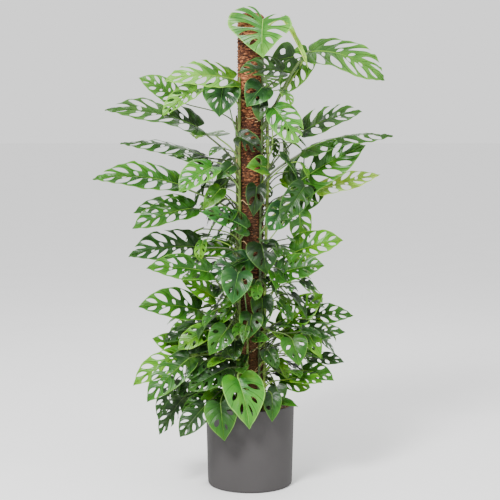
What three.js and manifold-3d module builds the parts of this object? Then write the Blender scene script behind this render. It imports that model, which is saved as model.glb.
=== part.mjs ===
// Monstera adansonii climbing a coir pole, in its round pot.
// Millimetres, +Z up, origin at the centre of the pot's flat bottom, the front of the plant towards -Y.
import * as THREE from 'three';
import { mergeVertices } from 'three/addons/utils/BufferGeometryUtils.js';
import Module from 'manifold-3d';

const wasm = await Module();
wasm.setup();

// ---------------------------------------------------------------- driving dimensions
const GAP = 0.3;                       // clearance between neighbouring pieces
const POT = { height: 250, rimRadius: 135, footRadius: 129, edge: 8, wall: 3.5, floor: 5, lip: 4, sides: 32 };
const SOIL = { level: 232, relief: 4, clear: 1.6, rings: 4, sides: 20, seed: 11 };
const POLE = { x: 2, radius: 39, ridge: 2.2, foot: 60, top: 1427, sides: 12, pitch: 76, seed: 5 };
const STAKE = { radius: 15, top: 1395, sides: 10 };
const STEM_SECTION = 6;                // sides of a stem
const STEM_FOOT = 150;                 // how deep the stems reach into the soil
const STEM_STEP = 85;                  // one straight piece of stem
const BLADE = 0.9;                     // thickness of a leaf blade
const LEAF_SEED = 40;
const STEM_LEAF_ORDER = 60;            // where the seeds of the leaves fused to stems begin
const LARGE_LEAF = 140;                // from this length on: thicker petiole, stronger wave
const WAVE = { large: 0.08, small: 0.06, turns: 9, apart: 1.3 };
const DROOP = 0.35;                    // how much of the fold a margin gives back
const MIDRIB_SLACK = 0.03;             // keeps the midrib points off one straight line while splitting

// Petiole: radii, then its curve in shares of its span: out of the notch, behind the blade, out of the stem,
// upwards at the stem; then its first ring, the length of one piece, and how many rings it may have.
const PETIOLE = {
  large: 3.0, small: 2.1, leave: 0.25, behind: 0.1, out: 0.22, lift: 0.2, liftSpread: 0.2,
  collar: 0.08, piece: 50, fewest: 3, most: 5,
};
// Radii of the thicker petioles, by leaf.
const STOUT_PETIOLES = { crown_3: 5.2, right_3: 3.8, right_4: 3.6, left_4: 3.4, left_6: 3.4 };
// Corners of a petiole's section [sideways, upwards] in radii.
const PETIOLE_SECTION = [[0.87, 0.5], [0, -1], [-0.87, 0.5]];

// Height and turn round the pole of each climbing stem: [degrees from the front, clear of the pole, height].
const STEMS = {
  left: {
    radius: 5.5,
    path: [[-50, 0, STEM_FOOT], [-47, 1, 420], [-43, 0, 760], [-46, 1, 1000], [-44, 0, 1238]],
  },
  crown: {
    radius: 4.5,
    path: [[28, 0, STEM_FOOT], [34, 1, 430], [40, 0, 800], [46, 1, 1100], [50, 0, 1372]],
  },
  right: {
    radius: 5.5,
    path: [[62, 0, STEM_FOOT], [60, 1, 380], [66, 2, 700], [76, 6, 950], [72, 3, 1190]],
  },
  front: { radius: 4.0, path: [[-10, 1, STEM_FOOT], [-14, 0, 330], [-8, 1, 520]] },
  back_left: { radius: 5.0, path: [[-118, 0, STEM_FOOT], [-112, 1, 500], [-120, 0, 800], [-116, 1, 1130]] },
  back_right: { radius: 5.0, path: [[150, 0, STEM_FOOT], [144, 1, 480], [152, 0, 860], [148, 1, 1240]] },
};

const GREEN = {
  dark: [0x3c5f2c, 0.45],
  mid: [0x55862f, 0.42],
  bright: [0x76a83a, 0.45],
  pale: [0x8fbf72, 0.5],
  blue: [0x4f8a5a, 0.5],
  yellow: [0xa2bd4c, 0.5],
  stem: [0x6f8a36, 0.5],
};

// ---------------------------------------------------------------- small helpers
const DEG = Math.PI / 180;

function seededRandom(seed) {
  let state = seed * 7919 + 17;
  return () => {
    state = (state * 48271) % 2147483647;
    return state / 2147483647;
  };
}

function toSolid(geometry) {
  geometry.deleteAttribute('normal');
  geometry.deleteAttribute('uv');
  const merged = mergeVertices(geometry, 1e-3);
  const corners = Array.from(merged.index.array);
  if (signedVolume(merged.attributes.position, corners) < 0) corners.reverse();
  return new wasm.Manifold(new wasm.Mesh({
    numProp: 3,
    vertProperties: new Float32Array(merged.attributes.position.array),
    triVerts: new Uint32Array(corners),
  }));
}

function signedVolume(position, corners) {
  const [a, b, c] = [0, 1, 2].map(() => new THREE.Vector3());
  let sum = 0;
  for (let corner = 0; corner < corners.length; corner += 3) {
    [a, b, c].forEach((point, step) => point.fromBufferAttribute(position, corners[corner + step]));
    sum += a.dot(b.cross(c));
  }
  return sum;
}

function toGeometry(solid) {
  const mesh = solid.getMesh();
  const geometry = new THREE.BufferGeometry();
  geometry.setAttribute('position', new THREE.BufferAttribute(new Float32Array(mesh.vertProperties), 3));
  geometry.setIndex(new THREE.BufferAttribute(new Uint32Array(mesh.triVerts), 1));
  geometry.computeVertexNormals();
  return geometry;
}

// The one body that counts: scraps that a cut leaves behind are dropped.
function largestBody(solid) {
  return solid.decompose().sort((one, other) => other.volume() - one.volume())[0];
}

const plant = new THREE.Group();

function addPiece(name, solid, colour, roughness) {
  const material = new THREE.MeshStandardMaterial({ color: colour, roughness, metalness: 0 });
  const mesh = new THREE.Mesh(toGeometry(solid), material);
  mesh.name = name;
  plant.add(mesh);
}

function rod(curve, radius, sides, steps) {
  const section = new THREE.Shape();
  for (let side = 0; side < sides; side += 1) {
    const turn = (side / sides) * 2 * Math.PI;
    const point = [radius * Math.cos(turn), radius * Math.sin(turn)];
    if (side === 0) section.moveTo(...point);
    else section.lineTo(...point);
  }
  section.closePath();
  const options = { steps, bevelEnabled: false, extrudePath: curve };
  return toSolid(new THREE.ExtrudeGeometry(section, options));
}

function lathe(profile, sides) {
  const points = profile.map(([radius, height]) => new THREE.Vector2(radius, height));
  const geometry = new THREE.LatheGeometry(points, sides);
  geometry.rotateX(Math.PI / 2);
  return toSolid(geometry);
}

// ---------------------------------------------------------------- pot
function potRadiusAt(height) {
  return POT.footRadius + (POT.rimRadius - POT.footRadius) * (height / POT.height);
}

function makePot() {
  const { height, edge, wall, floor, lip } = POT;
  const foot = potRadiusAt(0);
  const outline = [[0, 0], [foot - edge, 0]];
  for (const turn of [30, 60, 90]) {
    const x = foot - edge + edge * Math.sin(turn * DEG);
    outline.push([x, edge - edge * Math.cos(turn * DEG)]);
  }
  outline.push([potRadiusAt(height - 2), height - 2], [potRadiusAt(height) - 1.5, height]);
  outline.push([potRadiusAt(height) - lip + 1, height], [potRadiusAt(height) - lip, height - 2]);
  outline.push([potRadiusAt(floor) - wall, floor], [0, floor]);
  return lathe(outline, POT.sides);
}

// ---------------------------------------------------------------- pole
function poleBore() {
  const axis = line([POLE.x, 0, POLE.foot - 5], [POLE.x, 0, STAKE.top + GAP]);
  return rod(axis, STAKE.radius + GAP, STAKE.sides, 1);
}

function line(from, to) {
  return new THREE.LineCurve3(new THREE.Vector3(...from), new THREE.Vector3(...to));
}

// Coir wound in uneven turns: rings that swell and shrink, closed by a rounded crown.
function makeCoir() {
  const random = seededRandom(POLE.seed);
  const turns = Math.round((POLE.top - POLE.foot) / POLE.pitch) * 2;
  const profile = [[0, POLE.foot], [POLE.radius - 1, POLE.foot]];
  for (let turn = 1; turn < turns - 1; turn += 1) {
    const height = POLE.foot + (turn / turns) * (POLE.top - POLE.foot);
    profile.push([POLE.radius + (turn % 2 ? POLE.ridge : -POLE.ridge) * 0.5, height]);
  }
  profile.push([POLE.radius - 3, POLE.top - 12], [POLE.radius * 0.62, POLE.top - 2], [0, POLE.top]);
  const points = profile.map(([radius, height]) => new THREE.Vector2(radius, height));
  const geometry = new THREE.LatheGeometry(points, POLE.sides);
  geometry.rotateX(Math.PI / 2);
  geometry.deleteAttribute('normal');
  geometry.deleteAttribute('uv');
  const coir = mergeVertices(geometry, 1e-3);
  const place = coir.attributes.position;
  for (let index = 0; index < place.count; index += 1) {
    const x = place.getX(index);
    const y = place.getY(index);
    const radius = Math.hypot(x, y);
    const swell = radius > 1 ? 1 + ((random() - 0.5) * POLE.ridge) / radius : 1;
    place.setXY(index, x * swell + POLE.x, y * swell);
  }
  return toSolid(coir).subtract(poleBore());
}

function makeStake() {
  return rod(line([POLE.x, 0, POT.floor + GAP], [POLE.x, 0, STAKE.top]), STAKE.radius, STAKE.sides, 1);
}

// ---------------------------------------------------------------- stems
function stemCurve(name) {
  const { radius, path } = STEMS[name];
  const points = path.map(([turn, clear, height]) => {
    const reach = POLE.radius + POLE.ridge + GAP + radius + clear;
    return new THREE.Vector3(POLE.x + reach * Math.sin(turn * DEG), -reach * Math.cos(turn * DEG), height);
  });
  return new THREE.CatmullRomCurve3(points);
}

function stemPointAt(name, height) {
  const curve = stemCurve(name);
  let low = 0;
  let high = 1;
  for (let round = 0; round < 24; round += 1) {
    const middle = (low + high) / 2;
    if (curve.getPoint(middle).z < height) low = middle;
    else high = middle;
  }
  return curve.getPoint(low);
}

function stemSolid(name, extra) {
  const { radius, path } = STEMS[name];
  const length = path[path.length - 1][2] - path[0][2];
  return rod(stemCurve(name), radius + extra, STEM_SECTION, Math.round(length / STEM_STEP));
}

// ---------------------------------------------------------------- soil
function makeSoil() {
  const random = seededRandom(SOIL.seed);
  const bottom = POT.floor + GAP;
  const wall = (height) => potRadiusAt(height) - POT.wall - SOIL.clear;
  const profile = [[0, bottom], [wall(bottom), bottom]];
  for (let ring = SOIL.rings; ring >= 0; ring -= 1) {
    profile.push([(wall(SOIL.level) * ring) / SOIL.rings, SOIL.level]);
  }
  const points = profile.map(([radius, height]) => new THREE.Vector2(radius, height));
  const geometry = new THREE.LatheGeometry(points, SOIL.sides);
  geometry.rotateX(Math.PI / 2);
  geometry.deleteAttribute('normal');
  geometry.deleteAttribute('uv');
  const soil = mergeVertices(geometry, 1e-3);
  const place = soil.attributes.position;
  for (let index = 0; index < place.count; index += 1) {
    if (place.getZ(index) > SOIL.level - 1) {
      place.setZ(index, SOIL.level + (random() - 0.5) * 2 * SOIL.relief);
    }
  }
  const holeRadius = POLE.radius + POLE.ridge + 0.5;
  const coirAxis = line([POLE.x, 0, POLE.foot - 1], [POLE.x, 0, POT.height]);
  const stakeAxis = line([POLE.x, 0, 0], [POLE.x, 0, POLE.foot]);
  let solid = toSolid(soil);
  solid = solid.subtract(rod(coirAxis, holeRadius, POLE.sides, 1));
  solid = solid.subtract(rod(stakeAxis, STAKE.radius + GAP, STAKE.sides, 1));
  for (const name of Object.keys(STEMS)) {
    solid = solid.subtract(stemSolid(name, GAP));
  }
  return largestBody(solid);
}

// ---------------------------------------------------------------- leaf form
// Half outlines as [along the midrib, across in half widths], from the notch at the petiole to the tip.
const OUTLINE = {
  oval: [[0, 0], [-0.045, 0.17], [-0.075, 0.42], [-0.035, 0.7], [0.07, 0.9], [0.22, 1], [0.38, 1],
    [0.55, 0.93], [0.7, 0.76], [0.83, 0.49], [0.93, 0.19], [1, 0]],
  broad: [[0, 0], [-0.04, 0.16], [-0.06, 0.4], [-0.02, 0.66], [0.1, 0.86], [0.26, 0.97], [0.44, 1],
    [0.62, 0.93], [0.77, 0.74], [0.88, 0.46], [0.95, 0.2], [1, 0]],
  lobed: [[0, 0], [-0.16, 0.1], [-0.36, 0.3], [-0.4, 0.58], [-0.28, 0.84], [-0.07, 0.98], [0.15, 1],
    [0.34, 0.84], [0.54, 0.58], [0.73, 0.35], [0.88, 0.14], [1, 0]],
  wing: [[0, 0], [-0.03, 0.12], [-0.06, 0.3], [-0.02, 0.55], [0.07, 0.8], [0.2, 0.96], [0.34, 1],
    [0.48, 0.86], [0.6, 0.6], [0.75, 0.38], [0.88, 0.17], [1, 0]],
  heart: [[0, 0], [-0.07, 0.15], [-0.13, 0.4], [-0.1, 0.7], [0.01, 0.92], [0.17, 1], [0.35, 0.95],
    [0.53, 0.77], [0.7, 0.52], [0.84, 0.26], [0.93, 0.1], [1, 0]],
};

// Spaces between the side veins: where the first and last start on the midrib and meet the margin.
const SPACES = {
  oval: { midrib: [0.03, 0.78], margin: [0.42, 0.92] },
  broad: { midrib: [0.03, 0.78], margin: [0.42, 0.92] },
  heart: { midrib: [0.03, 0.46], margin: [0.5, 0.9] },
  lobed: { midrib: [0.0, 0.56], margin: [0.2, 0.88] },
  wing: { midrib: [0.0, 0.56], margin: [0.32, 0.88] },
};

// What one letter of a leaf's pattern opens in its space: from, to (shares of the way out), half width, open.
const OPENING = {
  h: { from: 0.3, to: 0.8, swell: 0.3 },
  H: { from: 0.24, to: 0.88, swell: 0.4 },
  o: { from: 0.36, to: 1, swell: 0.3, open: true },
  O: { from: 0.24, to: 1, swell: 0.42, open: true },
  L: { from: 0.22, to: 0.84, swell: 0.26 },
};

function outlinePoint(shape, share) {
  const points = OUTLINE[shape];
  const place = Math.min(Math.max(share, 0), 1) * (points.length - 1);
  const index = Math.min(Math.floor(place), points.length - 2);
  const t = place - index;
  const pointAt = (order) => points[Math.min(Math.max(order, 0), points.length - 1)];
  const [p0, p1, p2, p3] = [-1, 0, 1, 2].map((step) => pointAt(index + step));
  return [0, 1].map((axis) => 0.5 * (2 * p1[axis] + (p2[axis] - p0[axis]) * t
    + (2 * p0[axis] - 5 * p1[axis] + 4 * p2[axis] - p3[axis]) * t * t
    + (3 * p1[axis] - p0[axis] - 3 * p2[axis] + p3[axis]) * t * t * t));
}

// How far along the margin the notch has opened to the width of the petiole.
function neckShare(shape, half, width) {
  let share = 0;
  while (outlinePoint(shape, share)[1] * half < width) share += 0.002;
  return share;
}

// One half of a blade laid flat: its margin from notch to tip and its closed holes, in millimetres.
function halfBlade(leaf, pattern) {
  const { length, half, shape, marginSteps } = leaf;
  const { midrib: [midribFirst, midribLast], margin: [marginFirst, marginLast] } = SPACES[shape];
  const marginAt = (share) => {
    const [along, across] = outlinePoint(shape, share);
    return [along * length, across * half];
  };
  const spacing = ((midribLast - midribFirst) * length) / pattern.length;
  const neck = neckShare(shape, half, leaf.petioleRadius);
  const holes = [];
  const stops = [{ share: neck, points: [marginAt(neck)] }];
  const mouths = [[neck / 2, neck]];
  [...pattern].forEach((letter, index) => {
    const opening = OPENING[letter];
    if (!opening) return;
    const place = (index + 0.5) / pattern.length;
    const start = [(midribFirst + (midribLast - midribFirst) * place) * length, 0];
    const share = marginFirst + (marginLast - marginFirst) * place;
    const end = marginAt(share);
    const reach = Math.hypot(end[0] - start[0], end[1] - start[1]);
    const out = [(end[0] - start[0]) / reach, (end[1] - start[1]) / reach];
    const width = opening.swell * Math.min(spacing, reach * 0.8);
    const at = (way, side) => [start[0] + out[0] * reach * way - out[1] * side * width,
      start[1] + out[1] * reach * way + out[0] * side * width];
    const { from, to } = opening;
    if (opening.open) {
      const step = 0.01;
      const near = marginAt(share - step);
      const far = marginAt(share + step);
      const mouth = ((0.75 * width) / Math.hypot(far[0] - near[0], far[1] - near[1])) * 2 * step;
      mouths.push([share - mouth, share + mouth]);
      const middle = (from + to) / 2;
      const inside = [at(middle, 1), at(from, 0), at(middle, -1)];
      stops.push({ share, points: [marginAt(share - mouth), ...inside, marginAt(share + mouth)] });
    } else {
      const widest = from * 0.45 + to * 0.55;
      holes.push([at(from, 0), at(widest, -1), at(to, 0), at(widest, 1)]);
    }
  });
  for (let step = 0; step <= marginSteps; step += 1) {
    const share = step / marginSteps;
    const inMouth = mouths.some(([from, to]) => share > from - 0.02 && share < to + 0.02);
    if (share === 0 || !inMouth) stops.push({ share, points: [marginAt(share)] });
  }
  stops.sort((one, other) => one.share - other.share);
  return { margin: stops.flatMap((stop) => stop.points), holes };
}

// Bends the flat blade to its place: an arc along the midrib, a fold about it and a wave along the margin.
function bladeSurface(leaf) {
  const { base, chord, normal, side, length, half, bend, fold, wave, phase } = leaf;
  const radius = length / (2 * Math.sin(bend / 2));
  return (x, y, lift) => {
    const turn = (x / length - 0.5) * bend;
    const along = radius * (Math.sin(turn) + Math.sin(bend / 2));
    const up = radius * (Math.cos(turn) - Math.cos(bend / 2));
    const across = Math.abs(y) / half;
    const swing = Math.sin(phase + Math.sign(y) * WAVE.apart + (x / length) * WAVE.turns);
    const ripple = wave * half * across * across * swing;
    const rise = fold * Math.abs(y) - DROOP * fold * half * across * across + ripple + lift;
    return base.clone()
      .addScaledVector(chord, along + rise * Math.sin(turn))
      .addScaledVector(normal, up + rise * Math.cos(turn))
      .addScaledVector(side, y);
  };
}

// The flat blade split into triangles, whose upper side is seen clockwise in [along, across].
function splitBlade(leaf) {
  const flat = [];
  const triangles = [];
  const keys = new Map();
  const vertexAt = (x, y) => {
    const key = `${x.toFixed(4)} ${y.toFixed(4)}`;
    if (!keys.has(key)) {
      keys.set(key, flat.length);
      flat.push([x, y]);
    }
    return keys.get(key);
  };
  const slack = MIDRIB_SLACK * leaf.half;
  [[0, 1], [1, -1]].forEach(([side, sign]) => {
    const { margin, holes } = halfBlade({ ...leaf, shape: leaf.shapes[side] }, leaf.pattern[side]);
    const contour = margin.map(([x, y]) => ({ x, y, real: [x, y] }));
    for (let step = leaf.midribSteps - 1; step > 0; step -= 1) {
      const x = (step / leaf.midribSteps) * leaf.length;
      contour.push({ x, y: slack * Math.sin((step / leaf.midribSteps) * Math.PI), real: [x, 0] });
    }
    const openings = holes.map((hole) => hole.map(([x, y]) => ({ x, y, real: [x, y] })));
    const loops = [contour, ...openings];
    const rings = loops.map((loop) => loop.map((point) => new THREE.Vector2(point.x, point.y)));
    const all = loops.flat();
    for (const corners of THREE.ShapeUtils.triangulateShape(rings[0], rings.slice(1))) {
      const [a, b, c] = corners.map((index) => all[index]);
      const area = (b.x - a.x) * (c.y - a.y) - (c.x - a.x) * (b.y - a.y);
      const ids = [a, b, c].map((point) => vertexAt(point.real[0], point.real[1] * sign));
      triangles.push(area * sign < 0 ? ids : ids.reverse());
    }
  });
  return { flat, triangles };
}

// Centre line of the petiole: from the notch back and down to its foot on the stem.
function petioleCurve(leaf, surface) {
  const foot = stemPointAt(leaf.stem, leaf.footHeight);
  const outward = new THREE.Vector3(foot.x - POLE.x, foot.y, 0).normalize();
  const distance = foot.distanceTo(leaf.base);
  const start = surface(0, 0, 0);
  const back = start.clone().sub(surface(leaf.length * 0.05, 0, 0)).normalize();
  return new THREE.CubicBezierCurve3(
    start,
    start.clone()
      .addScaledVector(back, PETIOLE.leave * distance)
      .addScaledVector(leaf.normal, -PETIOLE.behind * distance),
    foot.clone().addScaledVector(outward, PETIOLE.out * distance).setZ(foot.z + leaf.lift * distance),
    foot.clone().addScaledVector(outward, 1),
  );
}

// Blade and petiole in one skin: two faces split alike, one blade thickness apart, a wall along every free
// edge, and at the notch a neck that runs on as the three-sided petiole.
function makeLeaf(leaf) {
  const surface = bladeSurface(leaf);
  const { flat, triangles } = splitBlade(leaf);
  const count = flat.length;
  const positions = [];
  for (const lift of [BLADE / 2, -BLADE / 2]) {
    for (const [x, y] of flat) positions.push(...surface(x, y, lift).toArray());
  }
  const edges = new Set();
  for (const [a, b, c] of triangles) {
    edges.add(`${a} ${b}`).add(`${b} ${c}`).add(`${c} ${a}`);
  }
  const index = [];
  for (const [a, b, c] of triangles) index.push(a, b, c, c + count, b + count, a + count);
  const notch = flat.findIndex(([x, y]) => x === 0 && y === 0);
  let before;
  let after;
  for (const edge of edges) {
    const [from, to] = edge.split(' ').map(Number);
    if (edges.has(`${to} ${from}`)) continue;
    if (to === notch) before = from;
    else if (from === notch) after = to;
    else index.push(to, from, from + count, to, from + count, to + count);
  }

  const curve = petioleCurve(leaf, surface);
  const pieces = Math.round(curve.getLength() / PETIOLE.piece);
  const steps = Math.min(Math.max(pieces, PETIOLE.fewest), PETIOLE.most);
  const hand = Math.sign(flat[before][1]);
  const across = leaf.side.clone().multiplyScalar(hand);
  let ring = [];
  for (let step = 1; step <= steps; step += 1) {
    const share = step === 1 ? PETIOLE.collar : (step - 1) / (steps - 1);
    const centre = curve.getPointAt(share);
    const along = curve.getTangentAt(share);
    across.addScaledVector(along, -across.dot(along)).normalize();
    const up = along.clone().cross(across).multiplyScalar(hand);
    const first = positions.length / 3;
    for (const [sideways, upward] of PETIOLE_SECTION) {
      const corner = centre.clone()
        .addScaledVector(across, sideways * leaf.petioleRadius)
        .addScaledVector(up, upward * leaf.petioleRadius);
      positions.push(...corner.toArray());
    }
    const next = [first, first + 1, first + 2];
    if (step === 1) {
      const [a, b, c] = next;
      const [low, mid, high] = [before + count, notch + count, after + count];
      index.push(before, low, a, low, mid, a, mid, b, a, mid, high, b, high, c, b);
      index.push(high, after, c, after, notch, c, notch, a, c, notch, before, a);
    } else {
      [[0, 1], [1, 2], [2, 0]].forEach(([one, two]) => {
        index.push(ring[one], ring[two], next[one], ring[two], next[two], next[one]);
      });
    }
    ring = next;
  }
  index.push(...ring);

  const geometry = new THREE.BufferGeometry();
  geometry.setAttribute('position', new THREE.Float32BufferAttribute(positions, 3));
  geometry.setIndex(index);
  return toSolid(geometry);
}

function describeLeaf(row, order, name = '') {
  const [stem, footHeight, base, tip, width, [azimuth, elevation], bend, fold, pattern, shape] = row;
  const start = new THREE.Vector3(...base);
  const chord = new THREE.Vector3(...tip).sub(start);
  const length = chord.length();
  chord.normalize();
  const normal = new THREE.Vector3(
    Math.sin(azimuth * DEG) * Math.cos(elevation * DEG),
    -Math.cos(azimuth * DEG) * Math.cos(elevation * DEG),
    Math.sin(elevation * DEG),
  );
  normal.addScaledVector(chord, -normal.dot(chord)).normalize();
  const random = seededRandom(LEAF_SEED + order);
  const large = length > LARGE_LEAF;
  const [one, other = one] = shape.split('/');
  return {
    stem, footHeight, base: start, length, chord, normal,
    shapes: [one, other],
    side: chord.clone().cross(normal),
    half: width / 2,
    bend: bend * DEG,
    fold: Math.tan(fold * DEG),
    wave: large ? WAVE.large : WAVE.small,
    phase: random() * 6,
    lift: PETIOLE.lift + PETIOLE.liftSpread * random(),
    pattern: pattern.split('/'),
    petioleRadius: STOUT_PETIOLES[name] ?? (large ? PETIOLE.large : PETIOLE.small),
    marginSteps: length > 170 ? 11 : length > 105 ? 9 : 7,
    midribSteps: length > 170 ? 4 : length > 105 ? 3 : 2,
  };
}

// ---------------------------------------------------------------- leaves
// name: [stem, height of the petiole's foot, notch, tip, width, upper side faces [azimuth from the front,
// elevation], bend along the midrib, fold about it, openings on either side of the midrib, outline (of either
// side, if they differ), green]. The first half of the openings lies on the side of chord x normal.
const LEAVES = {
  crown_1: ['crown', 1325, [38, -78, 1402], [38, -104, 1290], 200, [-22, 20], 36, 18,
    'OOHHH/HOH', 'lobed/wing', 'pale'],
  crown_2: ['crown', 1362, [98, -50, 1403], [168, -108, 1261], 30, [60, 50], 12, 34, '/', 'oval', 'yellow'],
  crown_3: ['crown', 1085, [180, -10, 1312], [395, -70, 1225], 132, [12, 40], 70, 4,
    'hhhh/hhoo', 'broad', 'mid'],
  crown_4: ['crown', 1190, [95, -75, 1252], [-35, -100, 1247], 84, [-10, 42], 40, 22,
    'hh/ho', 'oval', 'dark'],
  crown_5: ['crown', 1150, [35, -66, 1205], [-10, -84, 1148], 88, [-5, 15], 45, 20, 'L/h', 'heart', 'blue'],
  right_1: ['right', 1000, [72, -58, 1146], [142, -78, 1042], 96, [10, 22], 35, 10,
    'HH/HO', 'broad', 'pale'],
  right_2: ['right', 960, [165, 0, 1080], [335, -20, 1135], 104, [5, 50], 35, 12,
    'hhh/OoO', 'oval', 'dark'],
  right_3: ['crown', 905, [165, -52, 1024], [420, -94, 1062], 88, [0, 68], 40, -26,
    'hhhh/hhh', 'oval', 'dark'],
  right_4: ['crown', 810, [130, 0, 912], [345, -34, 1035], 136, [25, 36], 40, 14,
    'hHhh/HHhh', 'oval', 'mid'],
  right_5: ['right', 800, [215, 50, 900], [395, 30, 945], 78, [10, 50], 10, 6, 'hhh/hhh', 'oval', 'yellow'],
  right_6: ['crown', 830, [160, -98, 915], [90, -124, 816], 76, [10, 20], 45, 20, 'hh/hHh', 'oval', 'dark'],
  right_7: ['crown', 770, [100, -82, 855], [55, -102, 785], 76, [10, 15], 45, 18, 'hH/hH', 'oval', 'blue'],
  right_8: ['right', 545, [130, -60, 716], [275, -98, 757], 110, [5, 46], 28, 14,
    'hhh/hhh', 'oval', 'bright'],
  right_9: ['crown', 590, [88, -134, 664], [216, -176, 690], 100, [0, 42], 35, 14, 'hh/hh', 'oval', 'mid'],
  right_10: ['crown', 425, [105, -24, 484], [220, -50, 592], 92, [20, 40], 50, 16,
    'HO/HO', 'oval', 'bright'],
  right_11: ['right', 440, [162, 20, 508], [315, 0, 517], 84, [10, 50], 35, 8, 'hhh/hh', 'oval', 'mid'],
  right_12: ['crown', 395, [140, -50, 466], [285, -84, 480], 78, [5, 54], 30, 4, 'hh/hh', 'oval', 'dark'],
  right_13: ['front', 440, [124, -142, 468], [144, -164, 393], 80, [8, 18], 45, 18,
    'hh/hh', 'heart', 'mid'],
  pole_1: ['left', 1000, [-35, -70, 1062], [35, -84, 1020], 62, [-10, 30], 30, 14, 'O/h', 'oval', 'dark'],
  pole_2: ['crown', 920, [45, -76, 972], [-12, -96, 972], 66, [-5, 28], 60, 22, 'L/L', 'heart', 'bright'],
  pole_3: ['crown', 860, [20, -64, 912], [10, -80, 825], 62, [0, 12], 45, 24, 'L/L', 'heart', 'dark'],
  pole_4: ['left', 740, [-10, -66, 790], [-145, -110, 842], 76, [-15, 40], 40, 12, 'hh/hh', 'oval', 'blue'],
  pole_5: ['crown', 690, [35, -82, 742], [50, -104, 655], 100, [0, 14], 50, 18, 'hH/HH', 'heart', 'dark'],
  pole_6: ['left', 640, [-5, -68, 696], [-125, -90, 640], 84, [-10, 25], 30, 12, 'hh/hh', 'oval', 'blue'],
  pole_7: ['front', 500, [-35, -156, 664], [-50, -174, 577], 92, [-5, 14], 50, 20,
    'hH/HH', 'heart', 'blue'],
  pole_8: ['crown', 520, [36, -76, 580], [40, -94, 493], 70, [0, 12], 45, 22, 'L/L', 'heart', 'mid'],
  pole_9: ['front', 470, [5, -110, 535], [-5, -128, 468], 72, [0, 14], 45, 22, 'h/hh', 'heart', 'mid'],
  front_1: ['front', 330, [-33, -166, 352], [-2, -198, 212], 130, [22, 18], 40, 20,
    'hh/HhH', 'heart', 'pale'],
  front_2: ['left', 260, [-86, -180, 282], [-74, -202, 178], 98, [-5, 18], 40, 18, 'h/hh', 'heart', 'mid'],
  front_3: ['front', 265, [65, -146, 302], [65, -160, 225], 56, [5, 14], 40, 18, 'h/', 'heart', 'mid'],
  left_1: ['left', 1195, [-50, -60, 1230], [-250, -112, 1222], 116, [-10, 46], 42, 10,
    'OoOh/hhh', 'oval', 'bright'],
  left_2: ['left', 1150, [-155, -84, 1200], [-255, -124, 1120], 72, [-20, 40], 30, 22,
    'hh/h', 'oval', 'bright'],
  left_3: ['left', 1060, [-80, -74, 1203], [-90, -92, 1118], 112, [-5, 15], 45, 18,
    'hhh/hhh', 'heart', 'blue'],
  left_4: ['left', 965, [-155, -70, 1090], [-420, -142, 1137], 114, [-8, 50], 40, 12,
    'hoho/hhhh', 'oval', 'dark'],
  left_5: ['back_left', 960, [-140, -20, 1005], [-385, -60, 1040], 84, [-5, 66], 34, -20,
    'hhhh/hhh', 'oval', 'dark'],
  left_6: ['left', 815, [-210, -60, 920], [-460, -122, 937], 116, [-8, 50], 38, 12,
    'hoho/hhhh', 'oval', 'mid'],
  left_7: ['left', 905, [-112, -88, 972], [-205, -146, 900], 94, [-20, 30], 45, 18,
    'hh/hh', 'oval', 'pale'],
  left_8: ['back_left', 790, [-175, 0, 845], [-350, -30, 832], 94, [-5, 55], 40, 14,
    'hhh/hhh', 'oval', 'mid'],
  left_9: ['left', 800, [-172, -72, 850], [-345, -122, 792], 98, [-10, 44], 35, 16,
    'hhh/hhh', 'oval', 'mid'],
  left_10: ['left', 700, [-160, -40, 732], [-360, -92, 707], 118, [-8, 44], 40, 20,
    'HoHo/hhh', 'oval', 'dark'],
  left_11: ['left', 490, [-122, -142, 668], [-300, -190, 684], 96, [-8, 44], 30, 12,
    'hhh/hhh', 'oval', 'mid'],
  left_12: ['left', 480, [-155, -60, 545], [-330, -122, 562], 114, [-8, 42], 38, 18,
    'HhHh/hhh', 'oval', 'mid'],
  left_13: ['left', 560, [-105, -90, 585], [-200, -112, 637], 66, [-8, 40], 30, 14,
    'hh/h', 'oval', 'bright'],
  left_14: ['left', 500, [-70, -150, 497], [-120, -170, 425], 76, [-8, 18], 45, 20,
    'hh/hh', 'heart', 'mid'],
  left_15: ['left', 462, [-130, -112, 490], [-212, -142, 438], 68, [-12, 32], 30, 12,
    'hh/h', 'oval', 'bright'],
  left_16: ['left', 390, [-195, -80, 410], [-345, -142, 330], 94, [-20, 42], 35, 16,
    'hhh/hh', 'oval', 'bright'],
  left_17: ['left', 360, [-180, -142, 412], [-300, -198, 293], 94, [-18, 28], 32, 12,
    'hh/hhh', 'oval', 'mid'],
  left_18: ['left', 290, [-135, -152, 270], [-205, -194, 188], 76, [-12, 25], 28, 12,
    'hh/hh', 'oval', 'dark'],
  left_19: ['front', 350, [-65, -134, 382], [-182, -174, 320], 88, [-12, 34], 30, 12,
    'hh/hh', 'oval', 'dark'],
};

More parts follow.
